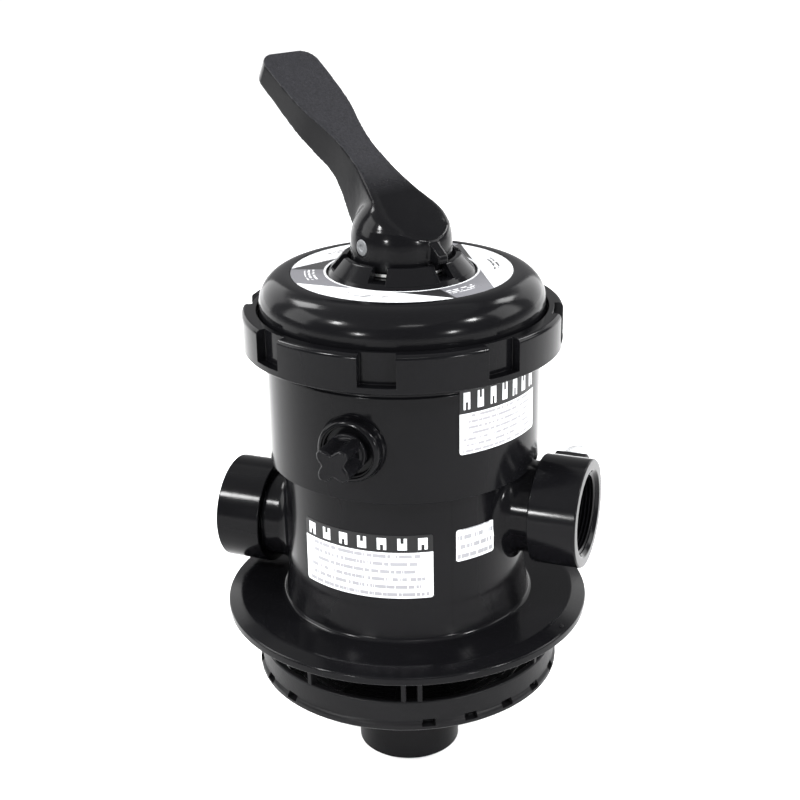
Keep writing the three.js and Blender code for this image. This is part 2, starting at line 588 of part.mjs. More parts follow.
function cover() {
  const lip = LABEL_OUTER_R + 2 * GAP;        // the dial lies in a shallow recess inside this lip
  const shoulder = arc(lip, COVER_Z + SHOULDER_START, DOME_R - lip,
    COVER_TOP_Z + 0.2 - COVER_Z - SHOULDER_START, 0, 90, 5);
  const hollow = 16;                          // rounding inside the dome
  const underside = arc(UPPER_BORE_R - hollow + 1, SPRING_TOP_Z - hollow, hollow, hollow, 90, 0, 3);
  const shape = turned([
    [UPPER_BORE_R + 1, COVER_Z], [THREAD_R, COVER_Z], [THREAD_R, COVER_FLANGE_TOP],
    [DOME_R, COVER_FLANGE_TOP], ...shoulder, [lip, LABEL_SEAT],
    [CROWN_BASE_R, LABEL_SEAT], [CROWN_TOP_R, CROWN_TOP_Z],
    [CROWN_BORE_R, CROWN_TOP_Z], [CROWN_BORE_R, CROWN_FLOOR_Z],
    [NECK_BORE_R, CROWN_FLOOR_Z], [NECK_BORE_R, NECK_BOSS_Z], [NECK_BOSS_R, NECK_BOSS_Z],
    [NECK_BOSS_R, SPRING_TOP_Z], ...underside,
  ]);
  return bearings(POSITIONS, HANDLE_HEADING).reduce((s, b) => s.subtract(
    bar(CROWN_BORE_R - 3, CROWN_BASE_R + 2, NOTCH_WIDTH, CROWN_FLOOR_Z + 0.6, FOREVER, b)), shape);
}

place('cover', cover(), plastic(BLACK, 0.2));
place('dial_label', ring(LABEL_INNER_R, LABEL_OUTER_R, LABEL_Z, COVER_TOP_Z), plastic(WHITE, 0.45));

function ringNut() {
  const bore = THREAD_R + GAP;
  const mouth = DOME_R + 2 * GAP;
  const edge = 0.8;
  const shape = turned([[bore, NUT_BOTTOM_Z], [NUT_R - edge, NUT_BOTTOM_Z], [NUT_R, NUT_BOTTOM_Z + edge],
    ...arc(NUT_R - NUT_EDGE, NUT_TOP_Z - NUT_EDGE, NUT_EDGE, NUT_EDGE, 0, 90, 4),
    [mouth, NUT_TOP_Z], [mouth, NUT_LIP_Z], [bore, NUT_LIP_Z]]);
  const half = POCKET_ANGLE / 2;
  return bearings(POCKETS, POCKET_PHASE).reduce((s, b) => s.subtract(
    sector(NUT_R - POCKET_DEPTH, NUT_R + 5, b - half, b + half,
      NUT_BOTTOM_Z + POCKET_FLOOR, NUT_TOP_Z + 1, 4)), shape);
}

place('ring_nut', ringNut(), plastic(BLACK, 0.24));

// ---------- handle ----------

place('thrust_washer', ring(NECK_BORE_R + 0.5, BULB_R - 2.5, WASHER_Z, WASHER_Z + THRUST_WASHER, PORT_SEGMENTS),
  plastic(WHITE, 0.4));

const handleGroup = new THREE.Group();
handleGroup.position.set(0, 0, PIN_Z);
handleGroup.rotation.z = radians(HANDLE_HEADING);
valve.add(handleGroup);

// In the handle's own frame the pin lies along Y and the handle rises towards +X. A side view is
// drawn as [x, z] and pushed through the width.
const width = BULB_R + 2;
const through = (outline, half = width) => raised(outline, -half, half).rotate([90, 0, 0]);
const topAt = (x) => HANDLE_TOP + Math.tan(radians(HANDLE_SLOPE)) * x;

function arm() {
  const normal = radians(HANDLE_SLOPE);
  const under = HANDLE_DEPTH.map(([fraction, depth]) => {
    const x = fraction * HANDLE_TIP;
    return point(x + depth * Math.sin(normal), topAt(x) - depth * Math.cos(normal));
  });
  const side = through([point(0, 0), point(BULB_R * 0.75, -4), ...under,
    point(HANDLE_TIP, topAt(HANDLE_TIP)), point(0, topAt(0))]);
  const edge = HANDLE_PLAN.map(([fraction, half]) => point(fraction * HANDLE_TIP, half));
  const { x: endX, y: endHalf } = edge.at(-1);
  const plan = [...edge.map((p) => point(p.x, -p.y)), ...arc(endX, 0, HANDLE_END, endHalf, -75, 75, 6),
    ...edge.toReversed()];
  return side.intersect(raised(plan, -width, FOREVER / 2));
}

// The slot that the stem's tongue swings in, closed at the top.
function tongueSlot() {
  const [half, side] = [TONGUE_LENGTH / 2, TONGUE_WIDTH / 2 + 0.5];
  const reach = half + SLOT_CLEARANCE;
  const depth = 4 - CAM_Z;
  const far = reach / Math.cos(slopeOf);
  const below = [point(-reach, 0), point(-reach, -depth), point(far + depth * Math.tan(slopeOf), -depth),
    point(far, 0)];
  const above = disc(Math.hypot(half, TONGUE_TOP) + SLOT_CLEARANCE, -side, side, SEGMENTS);
  return joined(through(below, side), above.rotate([90, 0, 0]));
}

function handle() {
  const far = 2 * HANDLE_TIP;
  const bulb = turned([[0, CAM_Z], [BULB_R, CAM_Z], ...arc(0, 0, BULB_R, BULB_R, 0, 90, 8)], 40);
  const aboveTop = through([point(-far, topAt(-far)), point(far, topAt(far)), point(-far, topAt(far))]);
  const [lugRoot, lugEnd] = [-BULB_R + 6, -CROWN_TOP_R - LUG_REACH];
  const lug = through([point(lugRoot, 9), point(lugEnd, -3), point(lugEnd, LUG_BOTTOM),
    point(lugRoot, LUG_BOTTOM)], NOTCH_WIDTH / 2 - 1);

  // under the arm the bottom rises at the angle that the handle is pressed through
  const cam = through([point(CAM_EDGE, CAM_Z), point(CAM_EDGE + far, CAM_Z - far),
    point(CAM_EDGE + far, CAM_Z + far * Math.tan(slopeOf))]);
  const pinHole = disc(PIN_R + GAP, -width, width, SMALL_SEGMENTS).rotate([90, 0, 0]);
  return joined(arm(), bulb).subtract(aboveTop).add(lug)
    .subtract(cam).subtract(tongueSlot()).subtract(pinHole);
}

place('handle', handle(), plastic(BLACK, 0.2), handleGroup);
place('handle_pin', disc(PIN_R, -BULB_R + 1, BULB_R - 1, SMALL_SEGMENTS).rotate([90, 0, 0]), metal(STEEL, 0.3),
  handleGroup);

// ---------- drain plug ----------

const plugGroup = new THREE.Group();
plugGroup.position.set(0, -(PLUG_BOSS_REACH - PLUG_RECESS), PLUG_Z);
plugGroup.rotation.x = Math.PI / 2;
valve.add(plugGroup);

// In the plug's own frame +Z points out of the valve and z = 0 is the floor of the boss's recess.
function drainPlug() {
  const flangeZ = PLUG_O_RING + 2 * GAP;
  const headZ = flangeZ + PLUG_FLANGE;
  const end = headZ + PLUG_HEAD_LENGTH;
  const half = PLUG_HEAD / 2;
  const [offset, size] = PLUG_HOLLOW;
  const square = raised([point(-half, -half), point(half, -half), point(half, half), point(-half, half)],
    headZ - 1, end);
  const hollow = disc(half * size, headZ, end + 1, SMALL_SEGMENTS).translate([half * offset, 0, 0]);
  const head = bearings(4).reduce((s, b) => s.subtract(hollow.rotate([0, 0, b])), square);
  return joined(disc(PLUG_THREAD_R - GAP, -PLUG_SHANK, flangeZ + 1, SMALL_SEGMENTS),
    disc(PLUG_RECESS_R - PLUG_FLANGE, flangeZ, headZ, SEGMENTS), head);
}

place('drain_plug', drainPlug(), plastic(BLACK, 0.3), plugGroup);
place('plug_o_ring', torus(PLUG_THREAD_R + GAP + PLUG_O_RING / 2, PLUG_O_RING, GAP + PLUG_O_RING / 2,
  SMALL_SEGMENTS), plastic(RUBBER, 0.6), plugGroup);

// ---------- sight glass ----------

const glassGroup = new THREE.Group();
glassGroup.position.set(GLASS_AT, 0, WASTE_PORT_Z);
glassGroup.rotation.x = -Math.PI / 2;
valve.add(glassGroup);

const glassFlangeTop = GLASS_FLANGE_AT + GLASS_FLANGE;

// In the sight glass's own frame +Z points away from the port and z = 0 is the port's axis.
function sightGlass() {
  const inside = GLASS_R - GLASS_WALL;
  return turned([[inside, GLASS_FLANGE_AT], [GLASS_BOSS_R, GLASS_FLANGE_AT], [GLASS_BOSS_R, glassFlangeTop],
    [GLASS_R, glassFlangeTop], [GLASS_R, GLASS_END - GLASS_EDGE], [GLASS_R - GLASS_EDGE, GLASS_END],
    [0, GLASS_END], [0, GLASS_END - GLASS_WALL], [inside, GLASS_END - GLASS_WALL]]);
}

function sightGlassNut() {
  const top = glassFlangeTop + GAP + GLASS_NUT_LIP;
  const bottom = top - GLASS_NUT_LENGTH;
  const corner = (GLASS_BOSS_R + GLASS_NUT_WALL) * 2 / Math.sqrt(3);
  return raised(arc(0, 0, corner, corner, 30, 330, 5), bottom, top)
    .subtract(disc(GLASS_BOSS_R + GAP, bottom - 1, top - GLASS_NUT_LIP))
    .subtract(disc(GLASS_R + GAP, bottom, top + 1));
}

const clear = new THREE.MeshStandardMaterial(
  { color: 0xe8eef0, roughness: 0.08, metalness: 0, transparent: true, opacity: 0.35 });
place('sight_glass', sightGlass(), clear, glassGroup);
place('sight_glass_nut', sightGlassNut(), plastic(BLACK, 0.3), glassGroup);
place('sight_glass_o_ring', torus((GLASS_R - GLASS_WALL + GLASS_BOSS_R) / 2, GLASS_O_RING,
  GLASS_BOSS_END + GAP + GLASS_O_RING / 2, SMALL_SEGMENTS), plastic(RUBBER, 0.6), glassGroup);

// ---------- stickers ----------

function sticker(r, { from, to, height, below }, under) {
  return sector(r + GAP, r + GAP + STICKER, from, to, under - below - height, under - below, 9);
}

place('front_sticker', sticker(BODY_R, FRONT_STICKER, STEP_Z), plastic(WHITE, 0.5));
place('upper_sticker', sticker(UPPER_R, UPPER_STICKER, NUT_BOTTOM_Z), plastic(WHITE, 0.5));
place('serial_sticker', sticker(BODY_R, SERIAL_STICKER, STEP_Z), plastic(WHITE, 0.5));

export default valve;
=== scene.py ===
"""A top-mount six-position multiport valve, dressed for display around its CAD frame.

Lengths in the outlines below are millimetres; the scene itself is in metres. The valve stands on
its centre tube, the waste port points along +X and the drain plug along -Y.
"""

import math

import bmesh
import bpy
from bpy.props import FloatProperty, FloatVectorProperty, IntProperty, PointerProperty
from bpy.types import Operator, Panel, PropertyGroup
from mathutils import Matrix, Vector


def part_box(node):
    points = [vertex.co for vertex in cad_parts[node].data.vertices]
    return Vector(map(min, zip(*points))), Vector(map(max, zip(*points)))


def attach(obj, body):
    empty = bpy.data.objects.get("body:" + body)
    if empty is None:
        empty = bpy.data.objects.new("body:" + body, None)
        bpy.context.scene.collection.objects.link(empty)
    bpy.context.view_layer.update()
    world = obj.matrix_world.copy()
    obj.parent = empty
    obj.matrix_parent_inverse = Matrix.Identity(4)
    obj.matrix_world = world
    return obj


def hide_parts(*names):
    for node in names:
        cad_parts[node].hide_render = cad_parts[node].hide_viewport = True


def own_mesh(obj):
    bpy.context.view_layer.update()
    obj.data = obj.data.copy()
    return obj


bl_info = {
    "name": "Multiport valve",
    "version": (1, 0, 0),
    "blender": (4, 5, 0),
    "location": "3D View > Sidebar > Valve",
    "description": "Builds a pool filter's multiport valve, its finishes and its studio",
    "category": "Object",
}

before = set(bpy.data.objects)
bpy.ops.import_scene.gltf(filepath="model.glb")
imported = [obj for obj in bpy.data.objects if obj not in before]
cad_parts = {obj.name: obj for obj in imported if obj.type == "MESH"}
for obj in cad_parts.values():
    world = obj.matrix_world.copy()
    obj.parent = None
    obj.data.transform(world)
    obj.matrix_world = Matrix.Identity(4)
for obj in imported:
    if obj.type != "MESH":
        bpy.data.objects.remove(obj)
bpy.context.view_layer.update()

MM = 0.001
TURN = math.tau
TO_X = Matrix.Rotation(TURN / 4, 4, "Y")  # lays a shape made about Z along +X
TO_Y = Matrix.Rotation(-TURN / 4, 4, "X")  # along +Y
TO_FRONT = Matrix.Rotation(TURN / 4, 4, "X")  # along -Y
OUTER = ("gloss", "housing", "gloss_black")  # finish, body and slot of the outer mouldings
INNER = ("satin", "housing", "inner_black")  # and of the fixed ones inside


def reach(node, axis):
    """How far a CAD node reaches along an axis, in metres."""
    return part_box(node)[1][axis]


# ---------- sizes and colours ----------


def length(name, description, default):
    return FloatProperty(name=name, description=description, default=default, min=0.0, unit="LENGTH")


def amount(name, description, default, **settings):
    return FloatProperty(name=name, description=description, default=default, min=0.0, **settings)


def colour(name, description, default):
    return FloatVectorProperty(
        name=name, description=description, default=default, size=3, min=0.0, max=1.0, subtype="COLOR"
    )


class ValveSizes(PropertyGroup):
    sides: IntProperty(name="Sides", description="Sides of a large turned piece", default=160, min=32)
    flange: length("Flange", "Radius of the clamp flange", reach("diffuser", 0) + 0.0179)
    body: length("Lower body", "Radius of the lower body", 0.073)
    upper: length("Upper body", "Radius of the upper body", 0.081)
    step: length("Overhang height", "Lower edge of the upper body", 0.098)
    mouth: length("Mouth height", "Top of the body, under the cover", reach("valve_body", 2))
    port: length("Port reach", "Mouth of each port from the valve's axis", reach("valve_body", 0))
    collar: length("Collar", "Radius of the port collars", 0.0325)
    nut: length("Ring nut", "Radius of the ring nut", reach("ring_nut", 0))
    dome: length("Dome", "Radius of the cover's dome", 0.0842)
    bulb: length("Bulb", "Radius of the handle's bulb", 0.0295)
    tube: length("Centre tube", "Radius of the centre tube", 0.0318)


class ValveFinishes(PropertyGroup):
    gloss: colour("Gloss black", "Colour of the outer mouldings", (0.0024, 0.0024, 0.0028))
    satin: colour("Satin black", "Colour of the inner mouldings", (0.0040, 0.0040, 0.0044))
    rubber: colour("Rubber", "Colour of the seals", (0.006, 0.006, 0.006))
    steel: colour("Steel", "Colour of the pin, spring and washers", (0.36, 0.37, 0.38))
    white: colour("White", "Colour of the thrust washer", (0.80, 0.80, 0.77))
    label: colour("Label", "White of the dial and the stickers", (0.56, 0.57, 0.58))
    ink: colour("Ink", "Grey of the print", (0.105, 0.105, 0.115))
    roughness: amount("Gloss roughness", "Roughness of the outer mouldings", 0.15, max=1.0)
    sheen: amount("Gloss", "Strength of the reflections on the black mouldings", 0.065, max=1.0)


class ValveStudio(PropertyGroup):
    floor: colour("Floor", "Colour of the floor", (0.90, 0.90, 0.90))
    overhead: amount("Overhead", "Strength of the overhead light", 1.75)
    softbox: amount("Softboxes", "Radiance that each lamp takes its share of", 330.0)
    lens: FloatProperty(name="Lens", description="Focal length of the camera", default=68.355, unit="CAMERA")


# ---------- making shapes ----------


def outline(bm, corners, closed=True):
    """A wire in the XZ plane through corners (across, up, rounding), each one rounded."""
    verts = [bm.verts.new((corner[0] * MM, 0, corner[1] * MM)) for corner in corners]
    for a, b in zip(verts, verts[1:] + (verts[:1] if closed else [])):
        bm.edges.new((a, b))
    for vert, corner in zip(verts, corners):
        rounding = corner[2] if len(corner) > 2 else 0
        if rounding:
            bmesh.ops.bevel(
                bm, geom=[vert], offset=rounding * MM, offset_type="OFFSET", profile=0.5,
                segments=min(14, 3 + int(rounding * 0.8)), affect="VERTICES", material=-1,
                clamp_overlap=False,
            )


def tidy(bm):
    """Closes the seams of a shape and turns its faces outwards."""
    bmesh.ops.remove_doubles(bm, verts=bm.verts[:], dist=1e-7)
    bmesh.ops.recalc_face_normals(bm, faces=bm.faces[:])
    return bm


def everything(bm):
    return bm.verts[:] + bm.edges[:] + bm.faces[:]


def swept(bm, angle, steps, climb=0.0, join=False):
    """Spins a wire or a face about Z, rising by climb at each step."""
    bmesh.ops.spin(
        bm, geom=everything(bm), cent=(0, 0, 0), axis=(0, 0, 1), dvec=(0, 0, climb), angle=angle, steps=steps,
        use_merge=join, use_duplicate=False,
    )
    return tidy(bm)


def drawn_out(bm, vec, **settings):
    """Pushes the faces of bm out along vec into a solid."""
    made = bmesh.ops.extrude_face_region(bm, geom=bm.faces[:], **settings)["geom"]
    ends = [v for v in made if isinstance(v, bmesh.types.BMVert)]
    bmesh.ops.translate(bm, verts=ends, vec=vec)


def turned(corners, sides=None):
    """A closed turned shape about Z. An outline that starts and ends on the axis is left open there."""
    bm = bmesh.new()
    outline(bm, corners, closed=corners[0][0] > 0 or corners[-1][0] > 0)
    return swept(bm, TURN, sides or sizes().sides, join=True)


def rod(radius, low, high, sides):
    """A plain round bar about Z, mostly for a hole."""
    return turned([(0, low), (radius, low), (radius, high), (0, high)], sides)


def flat(corners):
    """A flat face in the XZ plane with these corners."""
    bm = bmesh.new()
    outline(bm, corners)
    bmesh.ops.contextual_create(bm, geom=bm.edges[:])
    return bm


def pushed(corners, half):
    """An outline in XZ, pushed to both sides along Y."""
    bm = flat(corners)
    bmesh.ops.translate(bm, verts=bm.verts[:], vec=(0, -half * MM, 0))
    drawn_out(bm, (0, 2 * half * MM, 0))
    return tidy(bm)


def slice_of(corners, start, end, steps=10):
    """A turned shape that only runs between two bearings, with closed ends."""
    return swept(spun(flat(corners), start), math.radians(end - start), steps)


def block(low, high, edge=0.0):
    """A block between two corners, with its edges rounded."""
    bm = bmesh.new()
    bmesh.ops.create_cube(bm, size=1.0)
    low, high = Vector(low) * MM, Vector(high) * MM
    bmesh.ops.scale(bm, vec=high - low, verts=bm.verts[:])
    bmesh.ops.translate(bm, vec=(high + low) / 2, verts=bm.verts[:])
    if edge:
        bmesh.ops.bevel(
            bm, geom=bm.edges[:], offset=edge * MM, segments=2, profile=0.5, affect="EDGES", material=-1
        )
    return bm


def bar(inner, outer, width, low, high, bearing, edge=0.3):
    """A bar from one radius to another along a bearing."""
    return spun(block((inner, -width / 2, low), (outer, width / 2, high), edge), bearing)


def rubber_ring(radius, section, z):
    """A rubber ring of round section, lying flat."""
    bm = bmesh.new()
    bmesh.ops.create_circle(bm, segments=16, radius=section * MM / 2)
    moved(bm, TO_FRONT)
    bmesh.ops.translate(bm, verts=bm.verts[:], vec=(radius * MM, 0, z * MM))
    return swept(bm, TURN, 96, join=True)


def coil(section, pitch, turns, steps):
    """A section of (radius, height) corners wound up about Z."""
    return swept(flat(section), TURN * turns, int(steps * turns), climb=pitch * MM / steps)


def moved(bm, matrix):
    bmesh.ops.transform(bm, matrix=matrix, space=Matrix.Identity(4), verts=bm.verts[:])
    return bm


def spun(bm, bearing):
    return moved(bm, Matrix.Rotation(math.radians(bearing), 4, "Z"))


def shifted(bm, x=0.0, y=0.0, z=0.0):
    return moved(bm, Matrix.Translation(Vector((x, y, z)) * MM))


def meshed(name, bm):
    """bm as a mesh; bm itself is used up."""
    mesh = bpy.data.meshes.new(name)
    bm.to_mesh(mesh)
    bm.free()
    return mesh


def linked(name, data):
    """A new object in the scene, at the origin."""
    obj = bpy.data.objects.new(name, data)
    bpy.context.scene.collection.objects.link(obj)
    return obj


def together(*shapes):
    """Several shapes as the islands of one mesh."""
    whole = bmesh.new()
    for bm in shapes:
        mesh = meshed("island", bm)
        whole.from_mesh(mesh)
        bpy.data.meshes.remove(mesh)
    return whole


def worked(objects):
    """What its modifiers make of the first of some passing objects, which then go."""
    bpy.context.view_layer.update()
    result = bmesh.new()
    result.from_object(objects[0], bpy.context.evaluated_depsgraph_get())
    for obj in objects:
        mesh = obj.data
        bpy.data.objects.remove(obj)
        bpy.data.meshes.remove(mesh)
    return result


def combined(bm, tools, operation):
    """bm with each tool joined to it or cut from it."""
    made = [linked("stock", meshed("stock", shape)) for shape in [bm, *tools]]
    for tool in made[1:]:
        cutter = made[0].modifiers.new("cut", "BOOLEAN")
        cutter.operation, cutter.solver, cutter.object = operation, "EXACT", tool
    result = worked(made)
    bmesh.ops.remove_doubles(result, verts=result.verts[:], dist=1e-6)
    bmesh.ops.dissolve_degenerate(result, edges=result.edges[:], dist=1e-6)
    return result


def cut(bm, *tools):
    return combined(bm, tools, "DIFFERENCE")


def smoothed(bm, verts):
    bmesh.ops.smooth_vert(bm, verts=verts, factor=0.5, use_axis_x=True, use_axis_y=True, use_axis_z=True)


def piece(name, bm, look, body, slot, nodes=(), sharp=32, soften=0.0):
    """A finished piece: smooth but for its sharp edges, riding on its CAD body."""
    mesh = meshed(name, bm)
    mesh.materials.append(finish(look))
    mesh.polygons.foreach_set("use_smooth", [True] * len(mesh.polygons))
    mesh.set_sharp_from_angle(angle=math.radians(sharp))
    obj = linked(name, mesh)
    if soften:
        edge = obj.modifiers.new("edges", "BEVEL")
        edge.width, edge.segments, edge.limit_method = soften * MM, 2, "ANGLE"
        edge.angle_limit = math.radians(sharp)
        edge.harden_normals = True
    obj.modifiers.new("normals", "WEIGHTED_NORMAL").keep_sharp = True
    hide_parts(*nodes)
    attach(obj, body)
    return obj


def seal(node, bm, body="housing"):
    """The rubber piece that stands for a CAD seal."""
    piece(node + "_rubber", bm, "rubber", body, "black_rubber", [node])


# ---------- finishes ----------


class Finish:
    """A material, with short ways to add and link its nodes."""

    def __init__(self, name):
        self.material = bpy.data.materials.new(name)
        self.material.use_nodes = True
        self.tree = self.material.node_tree
        self.shader = self.tree.nodes["Principled BSDF"]
        self.place = self.node("ShaderNodeTexCoord").outputs["Object"]

    def node(self, kind, **settings):
        made = self.tree.nodes.new(kind)
        for key, value in settings.items():
            setattr(made, key, value)
        return made

    def feed(self, socket, value):
        if isinstance(value, bpy.types.NodeSocket):
            self.tree.links.new(value, socket)
        else:
            socket.default_value = value

    def math(self, operation, a, b=0.0, c=0.0):
        made = self.node("ShaderNodeMath", operation=operation)
        for socket, value in zip(made.inputs, (a, b, c)):
            self.feed(socket, value)
        return made.outputs[0]

    def noise(self, scale, detail=2.0, stretch=None):
        place = self.place
        if stretch:
            mapping = self.node("ShaderNodeMapping")
            mapping.inputs["Scale"].default_value = stretch
            self.feed(mapping.inputs["Vector"], place)
            place = mapping.outputs[0]
        made = self.node("ShaderNodeTexNoise")
        self.feed(made.inputs["Vector"], place)
        made.inputs["Scale"].default_value = scale
        made.inputs["Detail"].default_value = detail
        return made.outputs["Fac"]

    def between(self, value, low, high, start=0.3, end=0.7):
        made = self.node("ShaderNodeMapRange")
        self.feed(made.inputs["Value"], value)
        for key, number in (("From Min", start), ("From Max", end), ("To Min", low), ("To Max", high)):
            made.inputs[key].default_value = number
        return made.outputs[0]

    def axes(self, vector):
        made = self.node("ShaderNodeSeparateXYZ")
        self.feed(made.inputs[0], vector)
        return made.outputs[:]

    def near(self, value, middle, half):
        """1 where a value lies within half of middle, else 0."""
        return self.math("LESS_THAN", self.math("ABSOLUTE", self.math("SUBTRACT", value, middle)), half)

    def all_of(self, first, *others):
        for other in others:
            first = self.math("MULTIPLY", first, other)
        return first

    def glint(self, level):
        self.shader.inputs["Specular IOR Level"].default_value = level

    def mix(self, factor, first, second):
        made = self.node("ShaderNodeMix", data_type="RGBA")
        self.feed(made.inputs[0], factor)
        for socket, value in ((made.inputs[6], first), (made.inputs[7], second)):
            self.feed(socket, value if isinstance(value, bpy.types.NodeSocket) else (*value, 1.0))
        return made.outputs[2]

    def bump(self, height, strength, distance):
        made = self.node("ShaderNodeBump")
        made.inputs["Strength"].default_value = strength
        made.inputs["Distance"].default_value = distance
        self.feed(made.inputs["Height"], height)
        self.feed(self.shader.inputs["Normal"], made.outputs[0])

    def surface(self, base, rough):
        if not isinstance(base, bpy.types.NodeSocket):
            base = (*base, 1.0)
        self.feed(self.shader.inputs["Base Color"], base)
        self.feed(self.shader.inputs["Roughness"], rough)
        return self.material


def shade(base, factor):
    return tuple(min(1.0, channel * factor) for channel in base)


def moulded(name, base, roughness, spread, peel, grain, strength):
    """A moulded plastic: a faint flow in its colour, uneven gloss and a fine skin."""
    made = Finish(name)
    made.glint(bpy.context.scene.valve_finishes.sheen)
    flow = made.between(made.noise(9.0, 3.0), 0.0, 1.0)
    rough = made.between(made.noise(34.0, 4.0), roughness - spread, roughness + spread)
    skin = made.math("ADD", made.noise(peel, 1.0), made.math("MULTIPLY", made.noise(grain, 2.0), 0.25))
    made.bump(skin, strength, 0.0004)
    return made.surface(made.mix(flow, shade(base, 0.8), shade(base, 1.35)), rough)


def steel_finish(name, base, roughness):
    made = Finish(name)
    made.shader.inputs["Metallic"].default_value = 1.0
    streaks = made.noise(60.0, 3.0, stretch=(1.0, 1.0, 14.0))
    made.bump(streaks, 0.08, 0.0002)
    return made.surface(
        made.mix(made.between(made.noise(120.0), 0.0, 1.0), shade(base, 0.8), shade(base, 1.1)),
        made.between(streaks, roughness - 0.08, roughness + 0.1),
    )


def clear_finish():
    made = Finish("clear_moulding")
    made.shader.inputs["Transmission Weight"].default_value = 0.72
    made.shader.inputs["IOR"].default_value = 1.49
    made.bump(made.noise(160.0, 1.0), 0.03, 0.0003)
    return made.surface((0.93, 0.94, 0.95), made.between(made.noise(50.0), 0.08, 0.16))


def dial_finish(label, ink):
    """Three straight-edged white fields round the dial, with black wedges and grey between them."""
    made = Finish("printed_dial")
    third, first_field = TURN / 3, 2.75
    chord, wedge_share, inner_rim = 0.0443, 0.40, 0.0455
    outer_words, inner_words, words_half = 0.0555, 0.0535, 0.0032
    x, y, _ = made.axes(made.place)
    radius = made.math("SQRT", made.math("ADD", made.math("MULTIPLY", x, x), made.math("MULTIPLY", y, y)))
    turns = made.math("DIVIDE", made.math("ARCTAN2", y, x), third)
    past = made.math("FRACT", made.math("ADD", turns, first_field))
    aside = made.math("SUBTRACT", 0.5, made.math("ABSOLUTE", made.math("SUBTRACT", past, 0.5)))
    depth = made.math("MULTIPLY", radius, made.math("COSINE", made.math("MULTIPLY", aside, third)))
    base = made.mix(made.math("LESS_THAN", past, wedge_share), ink, shade(ink, 0.08))
    base = made.mix(made.math("GREATER_THAN", depth, chord), base, label)
    rows = made.math("FRACT", made.math("MULTIPLY", radius, 380.0))
    dashes = made.math("GREATER_THAN", made.noise(420.0, 1.0), 0.46)
    words = made.all_of(made.near(rows, 0.5, 0.24), dashes)
    dark = made.all_of(words, made.near(radius, outer_words, words_half), made.math("LESS_THAN", aside, 0.11))
    light = made.all_of(words, made.near(radius, inner_words, words_half), made.near(past, 0.5, 0.09))
    base = made.mix(light, made.mix(dark, base, shade(ink, 0.25)), label)
    base = made.mix(made.math("LESS_THAN", radius, inner_rim), base, label)
    made.bump(made.noise(900.0), 0.03, 0.0002)
    return made.surface(base, made.between(made.noise(80.0), 0.26, 0.36))


def sticker_finish(name, label, ink, rows, header, columns):
    """A vinyl sticker on its own UV map: plain shapes for the heading, rows of grey dashes below it."""
    made = Finish(name)
    made.glint(0.2)
    u, v, _ = made.axes(made.node("ShaderNodeUVMap", uv_map="print").outputs[0])
    place = made.math("MULTIPLY", v, rows / header)
    row = made.math("FLOOR", place)
    wave = made.math("SINE", made.math("MULTIPLY", row, 12.9))
    jitter = made.math("FRACT", made.math("MULTIPLY", wave, 43.7))
    margin = made.math("SUBTRACT", 0.47, made.math("MULTIPLY", jitter, 0.12))
    letters = made.node("ShaderNodeCombineXYZ")
    made.feed(letters.inputs[0], made.math("MULTIPLY", u, columns))
    made.feed(letters.inputs[1], made.math("MULTIPLY", row, 7.3))
    speck = made.node("ShaderNodeTexNoise")
    made.feed(speck.inputs["Vector"], letters.outputs[0])
    speck.inputs["Scale"].default_value = 1.0
    words = made.math("GREATER_THAN", speck.outputs["Fac"], 0.42)
    line = made.all_of(words, made.near(made.math("FRACT", place), 0.5, 0.24), made.near(u, 0.5, margin))
    base = made.mix(made.math("MULTIPLY", line, 0.85), label, shade(ink, 1.3))
    if header < 1.0:
        marks = 7.0
        cell = made.math("MULTIPLY", u, marks)
        across = made.math("FRACT", cell)
        odd = made.math("FRACT", made.math("MULTIPLY", made.math("FLOOR", cell), 0.5))
        middle, half = (1.0 + header) / 2, (1.0 - header) * 0.34
        stroke = made.all_of(made.near(across, 0.5, 0.23), made.near(v, middle, half))
        notch_at = made.math("ADD", middle - half * 0.75, made.math("MULTIPLY", odd, half * 3.0))
        notch = made.all_of(made.near(across, 0.5, 0.08), made.near(v, notch_at, half * 0.62))
        mark = made.math("SUBTRACT", stroke, made.all_of(notch, stroke))
        heading = made.mix(mark, shade(ink, 0.03), label)
        base = made.mix(made.math("GREATER_THAN", v, header), base, heading)
    made.bump(made.noise(700.0), 0.04, 0.0002)
    return made.surface(base, made.between(made.noise(60.0), 0.34, 0.46))


def handle_finish(base, roughness):
    """Gloss on the bulb and the sides, running into a fine matte grain along the top face of the grip."""
    made = Finish("handle_black")
    made.glint(bpy.context.scene.valve_finishes.sheen)
    local = made.node("ShaderNodeMapping", vector_type="TEXTURE")
    local.inputs["Location"].default_value = HANDLE @ Vector((0, 0, HANDLE_TOP * MM))
    local.inputs["Rotation"].default_value = (HANDLE.to_3x3() @ Matrix.Rotation(-SLOPE, 3, "Y")).to_euler()
    made.feed(local.inputs["Vector"], made.place)
    along, _, height = made.axes(local.outputs[0])
    top = made.between(height, 0.0, 1.0, -0.0010, -0.0004)
    matte = made.math("MULTIPLY", top, made.between(along, 0.0, 1.0, 0.004, 0.034))
    grain = made.math("MULTIPLY", made.noise(1300.0, 3.0), matte)
    made.bump(made.math("ADD", made.math("MULTIPLY", made.noise(260.0, 1.0), 0.1), grain), 0.8, 0.0005)
    gloss = made.between(made.noise(34.0, 4.0), roughness - 0.04, roughness + 0.04)
    rough = made.math("ADD", gloss, made.math("MULTIPLY", matte, 0.36))
    speckle = made.mix(made.between(made.noise(900.0, 3.0), 0.0, 1.0), shade(base, 2.5), shade(base, 7.0))
    return made.surface(made.mix(matte, base, speckle), rough)


finish_book = {}


